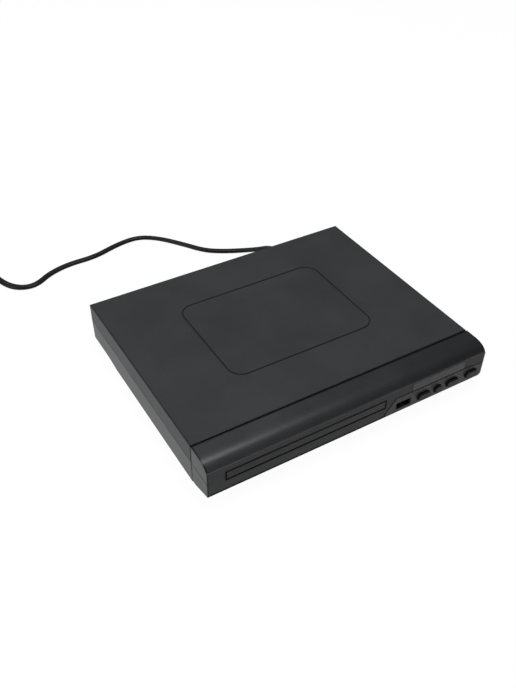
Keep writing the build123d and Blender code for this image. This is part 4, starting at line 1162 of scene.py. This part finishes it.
@dataclass
class Studio:
    """A pale floor and sky, soft lamps and the camera at the photograph's place.

    The camera's three directions and its lens come from the photograph. Horizon is the height
    over which the sky dims upwards, and forward the direction over which it dims to the front,
    both as parts of a unit vector.
    """

    reach: float = 9.0
    rings: int = 24
    spokes: int = 48
    glow: float = 0.965
    paper: tuple[Triple, Triple] = (tone(248, 248, 248), tone(252, 252, 252))
    fibre: float = 0.002
    fibre_depth: float = 0.00002
    pale: Triple = tone(246, 246, 246)
    overhead: Triple = tone(128, 129, 132)
    ahead: Triple = tone(58, 58, 60)
    horizon: Pair = (0.17, 0.32)
    forward: Pair = (-0.2, 0.7)
    camera_at: Triple = (-0.262926, -0.396835, 0.417984)
    camera_right: Triple = (0.85839938, -0.51285096, 0.01159329)
    camera_up: Triple = (0.32395857, 0.55948119, 0.76290998)
    camera_ahead: Triple = (0.39774534, 0.65112571, -0.64640077)
    lens: float = 40.8407
    sensor: float = 36.0
    nearest: float = 0.01
    lamps: Sequence[Lamp] = (
        Lamp("behind", (-0.25, 0.95, 1.8), (0.0, 0.0, 0.0), 1.4, 10.0),
        Lamp("left_side", (-1.8, 0.1, 0.8), (0.0, 0.0, 0.0), 1.0, 20.0),
        Lamp("overhead", (0.15, 0.05, 1.35), (-0.05, -0.05, 0.0), 0.35, 15.0),
    )

    def camera(self) -> None:
        """Set up the camera from the three directions that the photograph gives."""
        data = bpy.data.cameras.new("viewpoint")
        data.lens = self.lens
        data.sensor_width = self.sensor
        data.clip_start = self.nearest
        eye = bpy.data.objects.new("viewpoint", data)
        back = [-part for part in self.camera_ahead]
        turn = Matrix([self.camera_right, self.camera_up, back]).transposed().to_4x4()
        eye.matrix_world = Matrix.Translation(Vector(self.camera_at)) @ turn
        bpy.context.scene.collection.objects.link(eye)
        bpy.context.scene.camera = eye

    def sky(self) -> None:
        """A surround that is pale near the floor, dim overhead and dimmer in front."""
        world = bpy.data.worlds.new("studio")
        bpy.context.scene.world = world
        graph = Graph(world)
        direction = graph.add("ShaderNodeTexCoord", output="Generated")
        height = graph.add("ShaderNodeSeparateXYZ", {}, {0: direction}, "Z")
        front = (0 - height.other("Y")).ramp(*self.forward)
        dim = graph.mixed(front, self.overhead, self.ahead)
        colour = graph.mixed(height.ramp(*self.horizon), self.pale, dim)
        light = graph.add("ShaderNodeBackground", {}, {"Color": colour, "Strength": 1.0})
        graph.add("ShaderNodeOutputWorld", {}, {"Surface": light})

    def paper_material(self) -> bpy.types.Material:
        """Matt paper that camera, mirror and glass rays see lit evenly, with its shadow kept."""
        paper = bpy.data.materials.new("studio_floor")
        graph = Graph(paper)
        fibre = graph.noise(self.fibre, 2.0)
        matt = graph.shaded(
            Base_Color=graph.mixed(fibre, *self.paper),
            Roughness=0.9,
            Specular_IOR_Level=0.1,
            Normal=graph.bumped(fibre, self.fibre_depth),
        )
        ray = graph.add("ShaderNodeLightPath", output="Is Camera Ray")
        seen = ray + ray.other("Is Glossy Ray") + ray.other("Is Transmission Ray")
        white = {"Color": (1.0, 1.0, 1.0, 1.0), "Strength": 1.0}
        light = graph.add("ShaderNodeEmission", {}, white)
        share = seen.capped() * self.glow
        graph.close(graph.add("ShaderNodeMixShader", {}, {0: share, 1: matt, 2: light}))
        return paper

    def floor(self) -> None:
        """A wide pale disc of rings that grow outwards, with one flat face in the middle."""
        radius = (np.linspace(0.0, self.reach, self.rings) ** 2 / self.reach)[1:, None]
        angle = np.linspace(0, 2 * math.pi, self.spokes, endpoint=False)
        flat = [radius * np.cos(angle), radius * np.sin(angle), np.zeros_like(radius * angle)]
        index = looped(self.rings - 1, self.spokes)
        faces = quads(index) + [index[0, :-1].tolist()]
        mesh = bpy.data.meshes.new("studio_floor")
        mesh.from_pydata(np.stack(flat, -1).reshape(-1, 3).tolist(), [], faces)
        mesh.materials.append(self.paper_material())
        ground = bpy.data.objects.new("studio_floor", mesh)
        bpy.context.scene.collection.objects.link(ground)

    def build(self) -> None:
        """Make the camera, the light and the floor."""
        bpy.context.scene.view_settings.view_transform = "Standard"
        self.camera()
        self.sky()
        self.floor()
        for lamp in self.lamps:
            lamp.build()
        log.info("studio ready")


def main() -> None:
    """Build the studio and every part of the player in order."""
    Studio().build()
    cord = MainsCord()
    cord.build()
    for assembly in (cord, Housing(), Front(), Sockets(), Loader(), Electronics()):
        assembly.dress()


if __name__ == "__main__":
    main()
